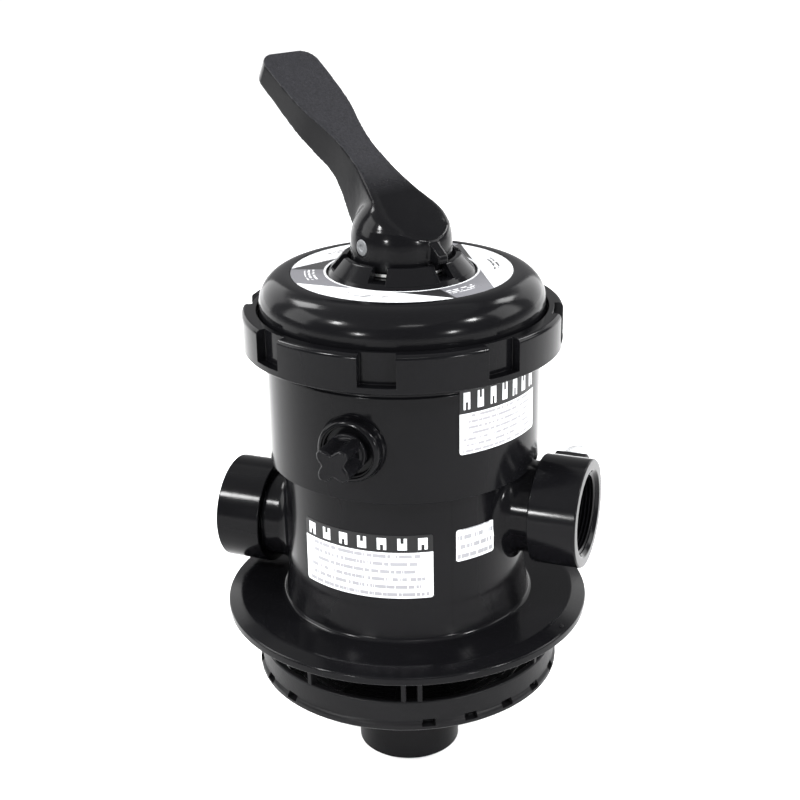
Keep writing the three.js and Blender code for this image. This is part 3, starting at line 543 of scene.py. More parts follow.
def finish(name):
    """The named finish, made when it is first asked for."""
    if name not in finish_book:
        inks = bpy.context.scene.valve_finishes
        gloss, satin, label, ink = inks.gloss[:], inks.satin[:], inks.label[:], inks.ink[:]
        finish_book[name] = {
            "gloss": lambda: moulded("gloss_black", gloss, inks.roughness, 0.04, 260.0, 1500.0, 0.05),
            "handle": lambda: handle_finish(gloss, inks.roughness),
            "satin": lambda: moulded("satin_black", satin, 0.38, 0.06, 700.0, 2600.0, 0.16),
            "plug": lambda: moulded("plug_black", shade(gloss, 1.2), 0.24, 0.05, 500.0, 2200.0, 0.08),
            "rubber": lambda: moulded("seal_rubber", inks.rubber[:], 0.66, 0.08, 900.0, 3000.0, 0.2),
            "white": lambda: moulded("white_washer", inks.white[:], 0.40, 0.05, 500.0, 2400.0, 0.08),
            "steel": lambda: steel_finish("drawn_steel", inks.steel[:], 0.3),
            "dull_steel": lambda: steel_finish("dull_steel", shade(inks.steel[:], 0.4), 0.5),
            "clear": clear_finish,
            "dial": lambda: dial_finish(shade(label, 0.95), ink),
            "front": lambda: sticker_finish("front_sticker_print", label, ink, 6.0, 0.73, 62.0),
            "upper": lambda: sticker_finish("upper_sticker_print", label, ink, 7.0, 0.62, 46.0),
            "serial": lambda: sticker_finish("serial_sticker_print", label, ink, 3.4, 1.0, 20.0),
        }[name]()
    return finish_book[name]


def sizes():
    return bpy.context.scene.valve_sizes


# ---------- the body and its ports ----------

LOW_PORT, WASTE_PORT, PLUG_HEIGHT = 44.0, 72.0, 131.0
PORTS = (("waste_port", 0, WASTE_PORT), ("pump_port", 90, LOW_PORT), ("return_port", 180, LOW_PORT))
AIM_PLUG = Matrix.Translation((0, 0, PLUG_HEIGHT * MM)) @ TO_FRONT
GLASS_IN = 23.0  # how far the sight glass stands in from the mouth of the waste port


class VALVE_OT_body(Operator):
    """Builds the body: the clamp flange, the lower body and the upper body that overhangs it"""

    bl_idname = "valve.body"
    bl_label = "Body"

    def execute(self, context):
        s = sizes()
        flange, low, high = s.flange / MM, s.body / MM, s.upper / MM
        step, top = s.step / MM, s.mouth / MM
        shell = turned([
            (82, 0, 0.5), (82, -10, 0.6), (86, -10, 1.0), (86, 0, 0.6), (96.9, 0, 0.3), (96.9, 3.4, 0.4),
            (103, 3.4, 0.4), (103, 0, 0.3), (flange, 0, 0.9), (flange, 4.9, 1.0), (flange - 9.5, 7.5, 1.2),
            (low + 2.8, 7.5, 2.4), (low, 22, 7), (low, step - 0.9, 0.5), (high, step, 0.5), (high, 161, 0.4),
            (high - 0.7, 161.8, 0.3),
            (high - 1, top - 9.8, 0.6), (high + 5.7, top - 9, 0.4), (high + 5.7, top, 0.5), (81.9, top, 0.2),
            (81.9, top - 3.6, 0.3), (78.3, top - 3.6, 0.3), (78.3, top, 0.2), (75, top, 0.4),
            (75, 103, 0.4), (67, 103, 0.4), (67, 6, 1.0), (82, 4, 1.0),
        ])
        ways = [shifted(spun(moved(rod(20.6, 55, 82, 64), TO_X), b), z=z) for _, b, z in PORTS]
        ways.append(moved(rod(6.8, 60, 92, 48), AIM_PLUG))
        piece("valve_body_shell", cut(shell, *ways), *OUTER, ["valve_body"])
        seam = [
            (flange + 0.12, 0.6), (flange + 0.12, 5.0, 1.0), (flange - 9.5, 7.64, 1.2),
            (low + 2.94, 7.64, 2.4), (low + 0.14, 22.1, 7), (low + 0.14, step - 1.2), (low - 1, step - 1.2),
            (low - 1, 6), (flange - 9, 6), (flange - 1, 4.5), (flange - 1, 0.6),
        ]
        seams = together(*[spun(pushed(seam, 0.16), b) for b in (-48, 132)])
        piece("parting_seams", seams, *OUTER)
        dot = shifted(turned([(0, 5.5), (1.3, 5.5), (1.3, 6.75, 0.3), (0, 6.75)], 24), flange - 4.0)
        piece("rim_mark", spun(dot, -11), "satin", "housing", "gloss_black")
        return {"FINISHED"}


def saddled(bm, wall):
    """Draws the foot of a port back on to the body's round wall."""
    outmost, fade = wall + 0.012, 0.010
    for vert in bm.verts:
        weight = max(0.0, min(1.0, (outmost - vert.co.x) / fade))
        sag = wall - math.sqrt(max(0.0, wall * wall - vert.co.y * vert.co.y))
        vert.co.x -= sag * weight
    return bm


class VALVE_OT_ports(Operator):
    """Builds the three threaded ports and the boss of the sight glass"""

    bl_idname = "valve.ports"
    bl_label = "Ports"

    def execute(self, context):
        s = sizes()
        wall, mouth, collar = s.body / MM, s.port / MM, s.collar / MM
        for name, bearing, height in PORTS:
            port = turned([
                (20.5, wall - 5), (34.5, wall - 5), (34.5, wall - 0.3, 0.4), (27.5, wall + 0.6, 5.0),
                (27.5, mouth - 29, 0.5), (collar, mouth - 29, 1.0), (collar, mouth, 1.0),
                (26.2, mouth, 0.5), (24.1, mouth - 2.1, 0.3), (23.4, mouth - 26, 0.4),
                (20.5, mouth - 26, 0.6),
            ], 128)
            port = saddled(moved(port, TO_X), s.body)
            thread = coil([(24.6, 0), (22.75, 0.9), (22.75, 1.15), (24.6, 2.05)], 2.2, 9.5, 64)
            shapes = [port, moved(shifted(thread, z=mouth - 24.5), TO_X)]
            if name == "waste_port":
                boss = turned([
                    (10.75, 25.5), (18.5, 25.5), (15.2, 31.0, 1.6), (15.2, 41, 0.6), (10.75, 41, 0.5),
                ], 72)
                shapes.append(shifted(moved(boss, TO_Y), x=mouth - GLASS_IN))
            port = shifted(spun(together(*shapes), bearing), z=height)
            piece(name, port, *OUTER, ["valve_body"])
        boss = turned([
            (6.8, 72), (19.6, 72), (19.6, 80), (18.5, 82.4, 1.2), (18.5, 88.5, 2.6), (15.9, 88.5, 0.5),
            (15.6, 87.4, 0.3), (14.5, 87.4, 0.4), (14.5, 84.5, 0.4), (6.8, 84.5, 0.4),
        ], 96)
        piece("plug_boss", moved(boss, AIM_PLUG), *OUTER, ["valve_body"])
        return {"FINISHED"}


class VALVE_OT_seals(Operator):
    """Builds the rubber rings of the housing and the gasket under the rotor"""

    bl_idname = "valve.seals"
    bl_label = "Seals"

    def execute(self, context):
        rings = {
            "cover_o_ring": (80.2, 3.1, 178.45), "tank_seal_ring": (100.0, 5.3, 0.4),
            "standpipe_o_ring": (28.25, 2.6, -90.3),
        }
        for name, (radius, section, z) in rings.items():
            seal(name, rubber_ring(radius, section, z))
        low, high, half = 110.2, 113.6, 1.7
        spans = [(r - half, r + half) for r in (33.6, 68.4)]
        hoops = [turned([(a, low, 0.5), (b, low, 0.5), (b, high, 1.2), (a, high, 1.2)], 96) for a, b in spans]
        spokes = [bar(34.5, 67.5, 2 * half, low, 113.5, 30 + 60 * i, 0.7) for i in range(6)]
        seal("spider_gasket", together(*hoops, *spokes))
        return {"FINISHED"}


class VALVE_OT_port_plate(Operator):
    """Builds the centre tube, the chamber walls and the plate with its six openings"""

    bl_idname = "valve.port_plate"
    bl_label = "Port plate"

    def execute(self, context):
        tube = sizes().tube / MM
        pipe = turned([
            (27.5, -102, 0.8), (tube, -102, 1.0), (tube, 104), (27.5, 104), (27.5, -88.6, 0.3),
            (29.9, -88.6, 0.3), (29.9, -92, 0.3), (27.5, -92, 0.3),
        ], 128)
        pipe = cut(pipe, bar(24, 35, 30, 24, 91, 240))
        floor = slice_of([(31, 14), (66.6, 14), (66.6, 18), (31, 18)], 328, 632, 90)
        walls = [bar(31, 66.6, 3.5, 14, 104, b, 0.5) for b in (32, 148, 212, 270, 328)]
        hub = turned([
            (0, 103.3), (37, 103.3, 0.5), (37, 111.3, 0.8), (35.6, 111.3), (35.6, 109.9), (31.6, 109.9),
            (31.6, 111.3), (0, 111.3),
        ], 96)
        rim = turned([
            (65, 103.3, 0.5), (74.7, 103.3, 0.4), (74.7, 111.3, 0.4), (70.4, 111.3), (70.4, 109.9),
            (66.4, 109.9), (66.4, 111.3), (65, 111.3, 0.5),
        ], 128)
        ribs = [
            slice_of([(36, 103.3), (66, 103.3), (66, 109.8), (36, 109.8)], 22 + 60 * i, 38 + 60 * i, 8)
            for i in range(6)
        ]
        shape = together(pipe, floor, *walls, hub, rim, *ribs)
        piece("port_plate_and_tube", shape, *INNER, ["port_plate"], soften=0.25)
        return {"FINISHED"}


class VALVE_OT_diffuser(Operator):
    """Builds the slotted diffuser that hangs under the flange"""

    bl_idname = "valve.diffuser"
    bl_label = "Diffuser"

    def execute(self, context):
        wall = turned([
            (88.5, -41.2, 0.5), (93.3, -41.2, 1.2), (93.5, -37.2, 1.0), (92, -35.6, 0.5), (92, -22.5, 1.2),
            (88.5, -22.5, 0.6),
        ])

        def all_round(*bearings):
            return [bearing + turn for turn in (0, 120, 240) for bearing in bearings]

        slots = [bar(86, 96, 8, -38.6, -34.6, b, 0.0) for b in all_round(-62, -46, -30, -14, 2)]
        hub = turned([(32.4, -41.2, 0.4), (37.4, -41.2, 0.8), (37.4, -37, 0.8), (32.4, -37, 0.4)], 96)
        spokes = [bar(35, 89.5, 4, -41.0, -37.2, 15 + 30 * i, 0.6) for i in range(12)]
        posts = [bar(86.3, 91.5, 3, -37.5, -0.3, b, 0.5) for b in all_round(-132, -109, -71, -65)]
        low, high, wide = -40.8, -37.4, 4.3
        hoops = [
            turned([(r, low, 0.6), (r + wide, low, 0.6), (r + wide, high, 0.6), (r, high, 0.6)], 128)
            for r in range(39, 85, 5)
        ]
        shape = together(cut(wall, *slots), hub, *spokes, *posts, *hoops)
        piece("diffuser_basket", shape, *INNER, ["diffuser"], soften=0.3)
        return {"FINISHED"}


# ---------- the moving insides ----------


class VALVE_OT_rotor(Operator):
    """Builds the rotor with its stem, and the stem's rubber rings"""

    bl_idname = "valve.rotor"
    bl_label = "Rotor"

    def execute(self, context):
        disc = turned([
            (0, 113.9), (73.5, 113.9, 0.8), (73.5, 127.9, 1.2), (30, 127.9, 2.0), (26, 136.9, 1.0),
            (11, 136.9, 1.5), (11, 197.6, 0.2), (8.8, 197.6, 0.2), (8.8, 200.4, 0.2), (11, 200.4, 0.2),
            (11, 203.6, 0.2), (8.8, 203.6, 0.2), (8.8, 206.4, 0.2), (11, 206.4, 0.2), (11, 208.4, 0.8), (0, 208.4),
        ], 128)
        tongue = spun(block((-9, -6, 205), (9, 6, 238), 0.8), HANDLE_BEARING)
        hole = moved(rod(5.3, -20, 20, 48), HANDLE @ TO_FRONT)
        channel = slice_of([(37, 112), (65, 112), (65, 123.9), (37, 123.9)], 158, 262, 40)
        window = [(37, 112), (65, 112), (65, 130), (37, 130)]
        ways = [slice_of(window, b - 22, b + 22, 20) for b in (120, 300)]
        shape = together(cut(disc, channel, *ways), cut(tongue, hole))
        piece("rotor_and_stem", shape, "satin", "stem", "inner_black", ["rotor"], soften=0.3)
        for name, z in (("stem_o_ring_lower", 199.0), ("stem_o_ring_upper", 205.0)):
            seal(name, rubber_ring(10.3, 2.35, z), "stem")
        return {"FINISHED"}


class VALVE_OT_spring(Operator):
    """Builds the return spring and its washers"""

    bl_idname = "valve.spring"
    bl_label = "Spring and washers"

    def execute(self, context):
        wire, radius, turns, corners, stem_lift = 4.0, 21.5, 5.5, 14, 0.007
        low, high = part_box("return_spring")
        foot = low.z / MM
        pitch = (high.z / MM - foot - wire) / turns
        angles = [TURN * i / corners for i in range(corners)]
        ring = [(radius + wire / 2 * math.cos(a), foot + wire / 2 * (1 + math.sin(a))) for a in angles]
        shape = coil(ring, pitch, turns, 48)
        spring = piece("return_spring_wire", shape, "steel", "stem", "steel", ["return_spring"])
        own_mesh(spring)
        washers = {
            "spring_seat_washer": (12.0, 137.2, "stem"), "spring_top_washer": (17.6, 202.7, "selector"),
        }
        for name, (inner, z, body) in washers.items():
            shape = turned([(inner, z, 0.3), (25.5, z, 0.3), (25.5, z + 1.5, 0.3), (inner, z + 1.5, 0.3)], 96)
            piece(name + "_steel", shape, "steel", body, "steel", [name])
        shape = turned([(12.3, 213.3, 0.4), (27, 213.3, 0.4), (27, 215.3, 0.5), (12.3, 215.3, 0.5)], 96)
        piece("thrust_washer_white", shape, "white", "selector", "white_washer", ["thrust_washer"])
        return {"FINISHED"}


# ---------- cover, dial and ring nut ----------


class VALVE_OT_cover(Operator):
    """Builds the domed cover with its notched index crown"""

    bl_idname = "valve.cover"
    bl_label = "Cover"

    def execute(self, context):
        dome = sizes().dome / MM
        top = 211.2
        shell = turned([
            (76, 180.5, 0.4), (86.6, 180.5, 0.4), (86.6, 185.2, 0.5), (dome + 0.2, 185.3, 0.3),
            (dome + 0.2, 187.6, 0.8), (dome - 0.5, 188.2, 0.4), (dome - 0.5, top, 17.0), (65.1, top, 0.35),
            (65.0, 210.1, 0.2), (43.2, 210.1, 0.5), (40.8, 213.4, 0.4), (31.4, 213.4, 0.3), (31.4, 213, 0.1),
            (11.8, 213, 0.5), (11.8, 195, 0.5), (17, 195, 0.8), (17, 204.5, 0.8), (76, 204.5, 15.0),
        ])
        tooth, half = [(31.4, 212.4), (41.7, 212.4), (34.2, 221, 0.9), (31.4, 221, 0.6)], 30 - 7.4
        teeth = [slice_of(tooth, b - half, b + half, 20) for b in range(0, 360, 60)]
        piece("cover_dome", shell, *OUTER, ["cover"])
        piece("index_crown", together(*teeth), *OUTER, ["cover"], soften=0.35)
        return {"FINISHED"}


class VALVE_OT_dial(Operator):
    """Builds the printed ring of the dial"""

    bl_idname = "valve.dial"
    bl_label = "Dial"

    def execute(self, context):
        ring = turned([(44, 210.4, 0.1), (64.6, 210.4, 0.1), (64.6, 210.95, 0.2), (44, 210.95, 0.2)])
        piece("dial_ring", ring, "dial", "housing", "dial_print", ["dial_label"])
        return {"FINISHED"}


class VALVE_OT_ring_nut(Operator):
    """Builds the ring nut with its eight pockets"""

    bl_idname = "valve.ring_nut"
    bl_label = "Ring nut"

    def execute(self, context):
        out = sizes().nut / MM
        low, high, floor = 168.0, 190.4, 172.0
        nut = turned([
            (87, low, 0.6), (out, low, 1.0), (out, high, 2.8), (85.2, high, 0.9), (85.2, 185.6, 0.3),
            (87, 185.6, 0.3),
        ], 192)
        back, clear, half = out - 5.5, out + 4, 6.5
        pocket = [(back, floor, 0.6), (clear, floor), (clear, high + 4), (back, high + 4)]
        pockets = [slice_of(pocket, b - half, b + half, 10) for b in range(-33, 327, 45)]
        piece("ring_nut_moulding", cut(nut, *pockets), *OUTER, ["ring_nut"],
              soften=0.3)
        return {"FINISHED"}


# ---------- handle ----------

SLOPE = math.radians(33)  # how far the grip rises from level
HANDLE_TOP = 24.0  # height above the pin at which the grip's top face crosses the stem's axis
UPWARD = Vector((-math.sin(SLOPE), 0, math.cos(SLOPE)))  # square to the grip's top face
HANDLE_BEARING = 150
HANDLE = Matrix.Translation((0, 0, 0.229)) @ Matrix.Rotation(math.radians(HANDLE_BEARING), 4, "Z")
# the grip's half width and its depth under the top face, by the distance out from the stem's axis
HALF_WIDTHS = (
    (-30, 21), (-2, 20), (6, 17), (16, 14), (26, 11.8), (37, 11.2), (46, 12), (56, 14.4), (66, 17.4),
    (76, 18.9), (90, 19.7), (112, 20),
)
DEPTHS = (
    (-30, 31), (4, 30), (12, 30), (18, 29), (24, 27), (30, 24.2), (37, 21.6), (44, 20.8), (52, 20.6),
    (60, 19.4), (76, 16.8), (92, 15.2), (112, 14.2),
)

def eased(table, x):
    """A smooth value from a table of (place, value)."""
    for i in range(len(table) - 1):
        (x0, y0), (x1, y1) = table[i], table[i + 1]
        if x <= x1:
            (xa, ya), (xb, yb) = table[max(0, i - 1)], table[min(len(table) - 1, i + 2)]
            t = max(0.0, (x - x0) / (x1 - x0))
            m0, m1 = (y1 - ya) / (x1 - xa) * (x1 - x0), (yb - y0) / (xb - x0) * (x1 - x0)
            rise = 3 * t**2 - 2 * t**3
            return (1 - rise) * y0 + (t**3 - 2 * t**2 + t) * m0 + rise * y1 + (t**3 - t**2) * m1
    return table[-1][1]


def grip():
    """The arm of the handle, cut into stations and drawn to its plan and depth."""
    along = Vector((math.cos(SLOPE), 0, math.sin(SLOPE)))
    start, end, corner, over = -14.0, 130.5, 10.0, -6.0
    stations = [start + 2.5 * i for i in range(1, 53)]
    stations += [end - corner * (1 - math.sin(TURN / 4 * i / 9)) for i in range(9)]
    arm = bmesh.new()
    bmesh.ops.create_cube(arm, size=1.0)
    bmesh.ops.scale(arm, vec=(end - start, 2, 1), verts=arm.verts[:])
    bmesh.ops.translate(arm, vec=((end + start) / 2, 0, -0.5), verts=arm.verts[:])
    for u in stations:
        bmesh.ops.bisect_plane(arm, geom=everything(arm), plane_co=(u, 0, 0), plane_no=(1, 0, 0))
    for vert in arm.verts:
        u, side, under = vert.co.x, math.copysign(1, vert.co.y), vert.co.z < -0.5
        past = max(0.0, u - (end - corner)) / corner
        half = eased(HALF_WIDTHS, u * math.cos(SLOPE)) - corner * (1 - math.sqrt(max(0.0, 1 - past * past)))
        drop = eased(DEPTHS, u * math.cos(SLOPE)) if under else over
        point = Vector((0, 0, HANDLE_TOP)) + along * u - UPWARD * drop
        vert.co = Vector((point.x, side * half * (0.94 if under else 1.0), point.z)) * MM
    return tidy(arm)


def remeshed(bm, voxel, rounds):
    """The same shape as one even skin, with its edges eased."""
    obj = linked("skin", meshed("skin", bm))
    skin = obj.modifiers.new("skin", "REMESH")
    skin.mode, skin.voxel_size = "VOXEL", voxel * MM
    result = worked([obj])
    for _ in range(rounds):
        smoothed(result, result.verts[:])
    return result


class VALVE_OT_handle(Operator):
    """Builds the lift handle: a round bulb over the pin and a waisted grip"""

    bl_idname = "valve.handle"
    bl_label = "Handle"

    def execute(self, context):
        bulb_r = sizes().bulb / MM
        foot, cam = -13.4, math.radians(32)
        bulb = turned([(0, foot), (bulb_r, foot, 0.8), (bulb_r, bulb_r, bulb_r - 0.01), (0, bulb_r)], 128)
        whole = combined(grip(), [bulb], "UNION")
        planes = [
            (Vector((0, 0, HANDLE_TOP)), UPWARD),
            (Vector((15.5, 0, foot)), Vector((math.sin(cam), 0, -math.cos(cam)))),
        ]
        for co, no in planes:
            cutoff = bmesh.ops.bisect_plane(
                whole, geom=everything(whole), dist=1e-6, plane_co=co * MM, plane_no=no, clear_outer=True
            )
            rim = [e for e in cutoff["geom_cut"] if isinstance(e, bmesh.types.BMEdge)]
            bmesh.ops.edgeloop_fill(whole, edges=rim)
        bmesh.ops.recalc_face_normals(whole, faces=whole.faces[:])
        lug = pushed([(-23, 9, 1), (-37.6, -2.6, 1.5), (-37.6, -7.3, 0.8), (-23, -7.3)], 3.4)
        whole = remeshed(combined(whole, [lug], "UNION"), 0.62, 3)
        rounds, outmost, retreat, lowest = 64, 0.026, 0.0004, 0.010
        for i in range(rounds):
            smoothed(whole, [v for v in whole.verts if v.co.x < outmost - retreat * i and v.co.z > lowest])
        slot = pushed([(-10, 3), (-10, -18), (23.5, -18), (11.8, 0)], 6.5)
        crown = moved(rod(13.7, -6.5, 6.5, 64), TO_FRONT)
        hole = moved(rod(5.2, -32, 32, 48), TO_FRONT)
        handle = moved(cut(whole, slot, crown, hole), HANDLE)
        piece("handle_moulding", handle, "handle", "lever", "gloss_black", ["handle"], sharp=50)
        return {"FINISHED"}


class VALVE_OT_pin(Operator):
    """Builds the handle's pivot pin"""

    bl_idname = "valve.pin"
    bl_label = "Pin"

    def execute(self, context):
        pin = turned([
            (0, -28.8), (1.6, -28.8, 0.3), (2.0, -29.2, 0.3), (4.9, -29.2, 0.7), (4.9, 29.2, 0.7),
            (2.0, 29.2, 0.3), (1.6, 28.8, 0.3), (0, 28.8),
        ], 64)
        piece("pivot_pin", moved(pin, HANDLE @ TO_FRONT), "dull_steel", "lever", "steel", ["handle_pin"])
        return {"FINISHED"}


# ---------- plug, sight glass and stickers ----------


class VALVE_OT_drain_plug(Operator):
    """Builds the drain plug with its four-lobed head, and its rubber ring"""

    bl_idname = "valve.drain_plug"
    bl_label = "Drain plug"

    def execute(self, context):
        waist, lobe_out = 6.7, 4.8
        head = bmesh.new()
        bmesh.ops.create_circle(head, cap_ends=True, segments=96, radius=1.0)
        for vert in head.verts:
            bearing = math.atan2(vert.co.y, vert.co.x)
            lobe = 0.5 - 0.5 * math.cos(4 * bearing)
            vert.co.xy = vert.co.xy.normalized() * (waist + lobe_out * lobe**0.85) * MM
        moved(head, Matrix.Rotation(0.06, 4, "Z"))
        bmesh.ops.translate(head, verts=head.verts[:], vec=(0, 0, 0.088))
        drawn_out(head, (0, 0, 0.0218))
        tidy(head)
        rims = [e for e in head.edges if all(v.co.z > 0.1 for v in e.verts)]
        bmesh.ops.bevel(head, geom=rims, offset=0.0016, segments=4, profile=0.5, affect="EDGES", material=-1)
        base = turned([
            (0, 77.2), (5.4, 77.2, 0.5), (6.4, 78.6, 0.3), (6.4, 87.1, 0.3), (11.4, 87.1, 0.5),
            (11.4, 90.0, 0.9), (9.0, 90.1, 0.8), (8.6, 91.2, 0.4), (0, 91.2),
        ], 72)
        thread = shifted(coil([(6.0, 0), (6.75, 0.7), (6.75, 0.9), (6.0, 1.6)], 1.8, 3.6, 40), z=78.6)
        piece("drain_plug_moulding", moved(together(head, base, thread), AIM_PLUG), "plug", "plug",
              "plug_black", ["drain_plug"])
        seal("plug_o_ring", moved(rubber_ring(8.1, 1.95, 85.8), AIM_PLUG), "plug_seal")
        return {"FINISHED"}


class VALVE_OT_sight_glass(Operator):
    """Builds the clear sight glass, its hexagonal nut and its rubber ring"""

    bl_idname = "valve.sight_glass"
    bl_label = "Sight glass"

    def execute(self, context):
        side = Matrix.Translation((sizes().port - GLASS_IN * MM, 0, WASTE_PORT * MM)) @ TO_Y
        glass = turned([
            (0, 67), (11.75, 67, 1.2), (11.75, 43.6, 0.3), (15.2, 43.6, 0.3), (15.2, 46.1, 0.4),
            (13.75, 46.1, 0.3), (13.75, 69, 2.2), (0, 69),
        ], 96)
        piece("sight_glass_clear", moved(glass, side), "clear", "housing", "clear_plastic", ["sight_glass"])
        nut = bmesh.new()
        bmesh.ops.create_circle(nut, cap_ends=True, segments=6, radius=0.0195)
        moved(nut, Matrix.Rotation(math.pi / 6, 4, "Z"))
        bmesh.ops.translate(nut, verts=nut.verts[:], vec=(0, 0, 0.0354))
        drawn_out(nut, (0, 0, 0.013))
        nut = cut(tidy(nut), rod(15.5, 34, 46.4, 72), rod(14.1, 40, 52, 72))
        piece("sight_glass_hex_nut", moved(nut, side), *OUTER, ["sight_glass_nut"],
              soften=0.6)
        seal("sight_glass_o_ring", moved(rubber_ring(13.475, 1.95, 42.3), side))
        return {"FINISHED"}


class VALVE_OT_stickers(Operator):
    """Builds the three stickers, bent round the body"""

    bl_idname = "valve.stickers"
    bl_label = "Stickers"

    def execute(self, context):
        strips, corner, thickness = 24, 1.6, 0.14
        rows = (
            ("front_sticker", 73.05, -122, -57, 35, 75, "front"),
            ("upper_sticker", 81.05, -47, -3, 125, 164, "upper"),
            ("serial_sticker", 73.05, -46, -25, 55, 75, "serial"),
        )
        for name, radius, start, end, low, high, look in rows:
            width = math.radians(end - start) * radius
            bm = bmesh.new()
            bmesh.ops.create_grid(bm, x_segments=1, y_segments=1, size=0.5)
            bmesh.ops.scale(bm, vec=(width, high - low, 1), verts=bm.verts[:])
            bmesh.ops.bevel(
                bm, geom=bm.verts[:], offset=corner, segments=5, profile=0.5, affect="VERTICES", material=-1
            )
            for i in range(1, strips):
                bmesh.ops.bisect_plane(
                    bm, geom=everything(bm), plane_co=((i / strips - 0.5) * width, 0, 0), plane_no=(1, 0, 0)
                )
            layer = bm.loops.layers.uv.new("print")
            for face in bm.faces:
                for loop in face.loops:
                    loop[layer].uv = (loop.vert.co.x / width + 0.5, loop.vert.co.y / (high - low) + 0.5)
            drawn_out(bm, (0, 0, thickness), use_keep_orig=True)
            bmesh.ops.recalc_face_normals(bm, faces=bm.faces[:])
            for vert in bm.verts:
                bearing = math.radians((start + end) / 2) + vert.co.x / radius
                out = (radius + vert.co.z) * MM
                height = (vert.co.y + (low + high) / 2) * MM
                vert.co = (out * math.cos(bearing), out * math.sin(bearing), height)
            bmesh.ops.recalc_face_normals(bm, faces=bm.faces[:])
            piece(name + "_vinyl", bm, look, "housing", "sticker_white", [name], sharp=60)
        return {"FINISHED"}


# ---------- the stage ----------

VIEW_BEARING = math.radians(-69)
# each lamp's bearing and rise in degrees, its distance, width and height, and its share of the softboxes
LAMPS = {
    "left_softbox": (-92, 24, 2.0, 0.9, 1.1, 0.025), "right_softbox": (94, 26, 2.0, 0.8, 1.0, 0.025),
    "left_strip": (-58, 36, 2.0, 0.20, 0.24, 0.7), "right_strip": (62, 36, 2.0, 0.20, 0.24, 0.7),
    "left_spot": (-34, 10, 2.2, 0.18, 0.14, 1.0), "right_spot": (38, 10, 2.2, 0.18, 0.14, 1.0),
    "left_rim": (-122, 46, 2.0, 0.5, 0.5, 0.10), "right_rim": (124, 42, 2.0, 0.4, 0.4, 0.08),
    "window": (8, 44, 2.2, 0.55, 0.14, 0.08),
    "left_wall": (-140, 12, 2.2, 1.3, 1.6, 0.008), "right_wall": (140, 12, 2.2, 1.3, 1.6, 0.008),
}
EYE_OUT, EYE_HEIGHT = 0.85, 0.4564  # the camera's distance from the valve's axis and its height
EYE_TURN, EYE_DIP, EYE_ROLL = math.radians(21), math.radians(21.03), math.radians(-0.96)


def lamp(name, bearing, height, distance, wide, tall, radiance):
    """A softbox at a bearing from the camera's side, aimed at the valve."""
    light = bpy.data.lights.new(name, "AREA")
    light.shape, light.size, light.size_y = "RECTANGLE", wide, tall
    light.energy = radiance * math.pi * wide * tall
    obj = linked(name, light)
    turn, rise = VIEW_BEARING + math.radians(bearing), math.radians(height)
    away = Vector((math.cos(turn) * math.cos(rise), math.sin(turn) * math.cos(rise), math.sin(rise)))
    obj.location = Vector((0, 0, 0.12)) + away * distance
    obj.rotation_euler = away.to_track_quat("Z", "Y").to_euler()


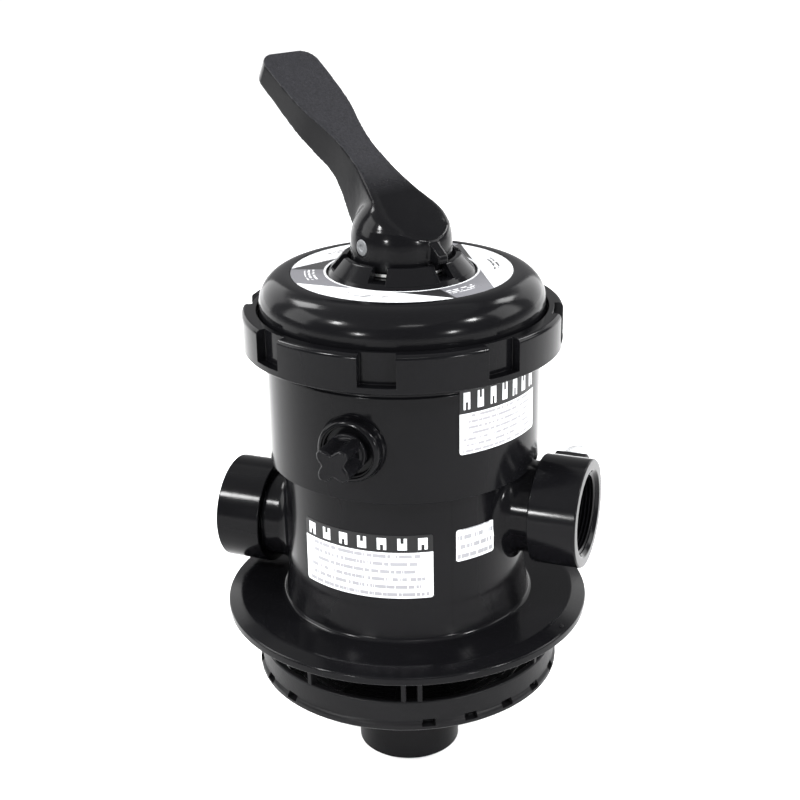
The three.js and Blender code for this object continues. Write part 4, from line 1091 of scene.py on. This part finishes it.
class VALVE_OT_stage(Operator):
    """Builds the pale floor, the soft light and the camera"""

    bl_idname = "valve.stage"
    bl_label = "Stage"

    def execute(self, context):
        scene, studio = context.scene, context.scene.valve_studio
        bm = bmesh.new()
        bmesh.ops.create_grid(bm, x_segments=2, y_segments=2, size=9.0)
        bmesh.ops.translate(bm, verts=bm.verts[:], vec=(0, 0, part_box("port_plate")[0].z - 0.0002))
        mesh = meshed("floor", bm)
        paper = Finish("floor_paper")
        tone = studio.floor[:]
        paper.surface(paper.mix(paper.noise(3.0), shade(tone, 0.99), tone), 0.75)
        paper.glint(0.1)
        mesh.materials.append(paper.material)
        linked("floor", mesh)

        world = bpy.data.worlds.new("studio")
        world.use_nodes = True
        world.node_tree.nodes["Background"].inputs["Color"].default_value = (0.56, 0.56, 0.57, 1.0)
        scene.world = world

        sun = bpy.data.lights.new("overhead", "SUN")
        sun.energy, sun.angle = studio.overhead, math.radians(100)
        linked("overhead", sun).rotation_euler = (math.radians(12), math.radians(-10), 0)
        for name, (*place, share) in LAMPS.items():
            lamp(name, *place, studio.softbox * share)

        camera = bpy.data.cameras.new("camera")
        camera.sensor_width, camera.lens, camera.shift_x = 36.0, studio.lens, -0.005
        eye = linked("camera", camera)
        eye.matrix_world = (
            Matrix.Translation((EYE_OUT * math.sin(EYE_TURN), -EYE_OUT * math.cos(EYE_TURN), EYE_HEIGHT))
            @ Matrix.Rotation(EYE_TURN, 4, "Z") @ Matrix.Rotation(TURN / 4 - EYE_DIP, 4, "X")
            @ Matrix.Rotation(EYE_ROLL, 4, "Z")
        )
        scene.camera = eye
        scene.view_settings.view_transform = "Standard"
        return {"FINISHED"}


# ---------- panel, registration and the run ----------

OPERATORS = (
    VALVE_OT_stage, VALVE_OT_body, VALVE_OT_ports, VALVE_OT_seals, VALVE_OT_port_plate, VALVE_OT_diffuser,
    VALVE_OT_rotor, VALVE_OT_spring, VALVE_OT_cover, VALVE_OT_dial, VALVE_OT_ring_nut, VALVE_OT_handle,
    VALVE_OT_pin, VALVE_OT_drain_plug, VALVE_OT_sight_glass, VALVE_OT_stickers,
)


class VALVE_PT_build(Panel):
    """Lists the valve's pieces, sizes and finishes"""

    bl_idname = "VALVE_PT_build"
    bl_label = "Multiport valve"
    bl_space_type = "VIEW_3D"
    bl_region_type = "UI"
    bl_category = "Valve"

    def draw(self, context):
        for operator in OPERATORS:
            self.layout.operator(operator.bl_idname)
        for group in (context.scene.valve_sizes, context.scene.valve_finishes, context.scene.valve_studio):
            box = self.layout.box()
            for key in type(group).__annotations__:
                box.prop(group, key)


GROUPS = {"valve_sizes": ValveSizes, "valve_finishes": ValveFinishes, "valve_studio": ValveStudio}


def register():
    for name, group in GROUPS.items():
        bpy.utils.register_class(group)
        setattr(bpy.types.Scene, name, PointerProperty(type=group))
    for kind in (*OPERATORS, VALVE_PT_build):
        bpy.utils.register_class(kind)


def unregister():
    for kind in reversed((*OPERATORS, VALVE_PT_build)):
        bpy.utils.unregister_class(kind)
    for name, group in GROUPS.items():
        delattr(bpy.types.Scene, name)
        bpy.utils.unregister_class(group)


def main():
    register()
    for operator in OPERATORS:
        group, name = operator.bl_idname.split(".")
        getattr(getattr(bpy.ops, group), name)()


if __name__ == "__main__":
    main()
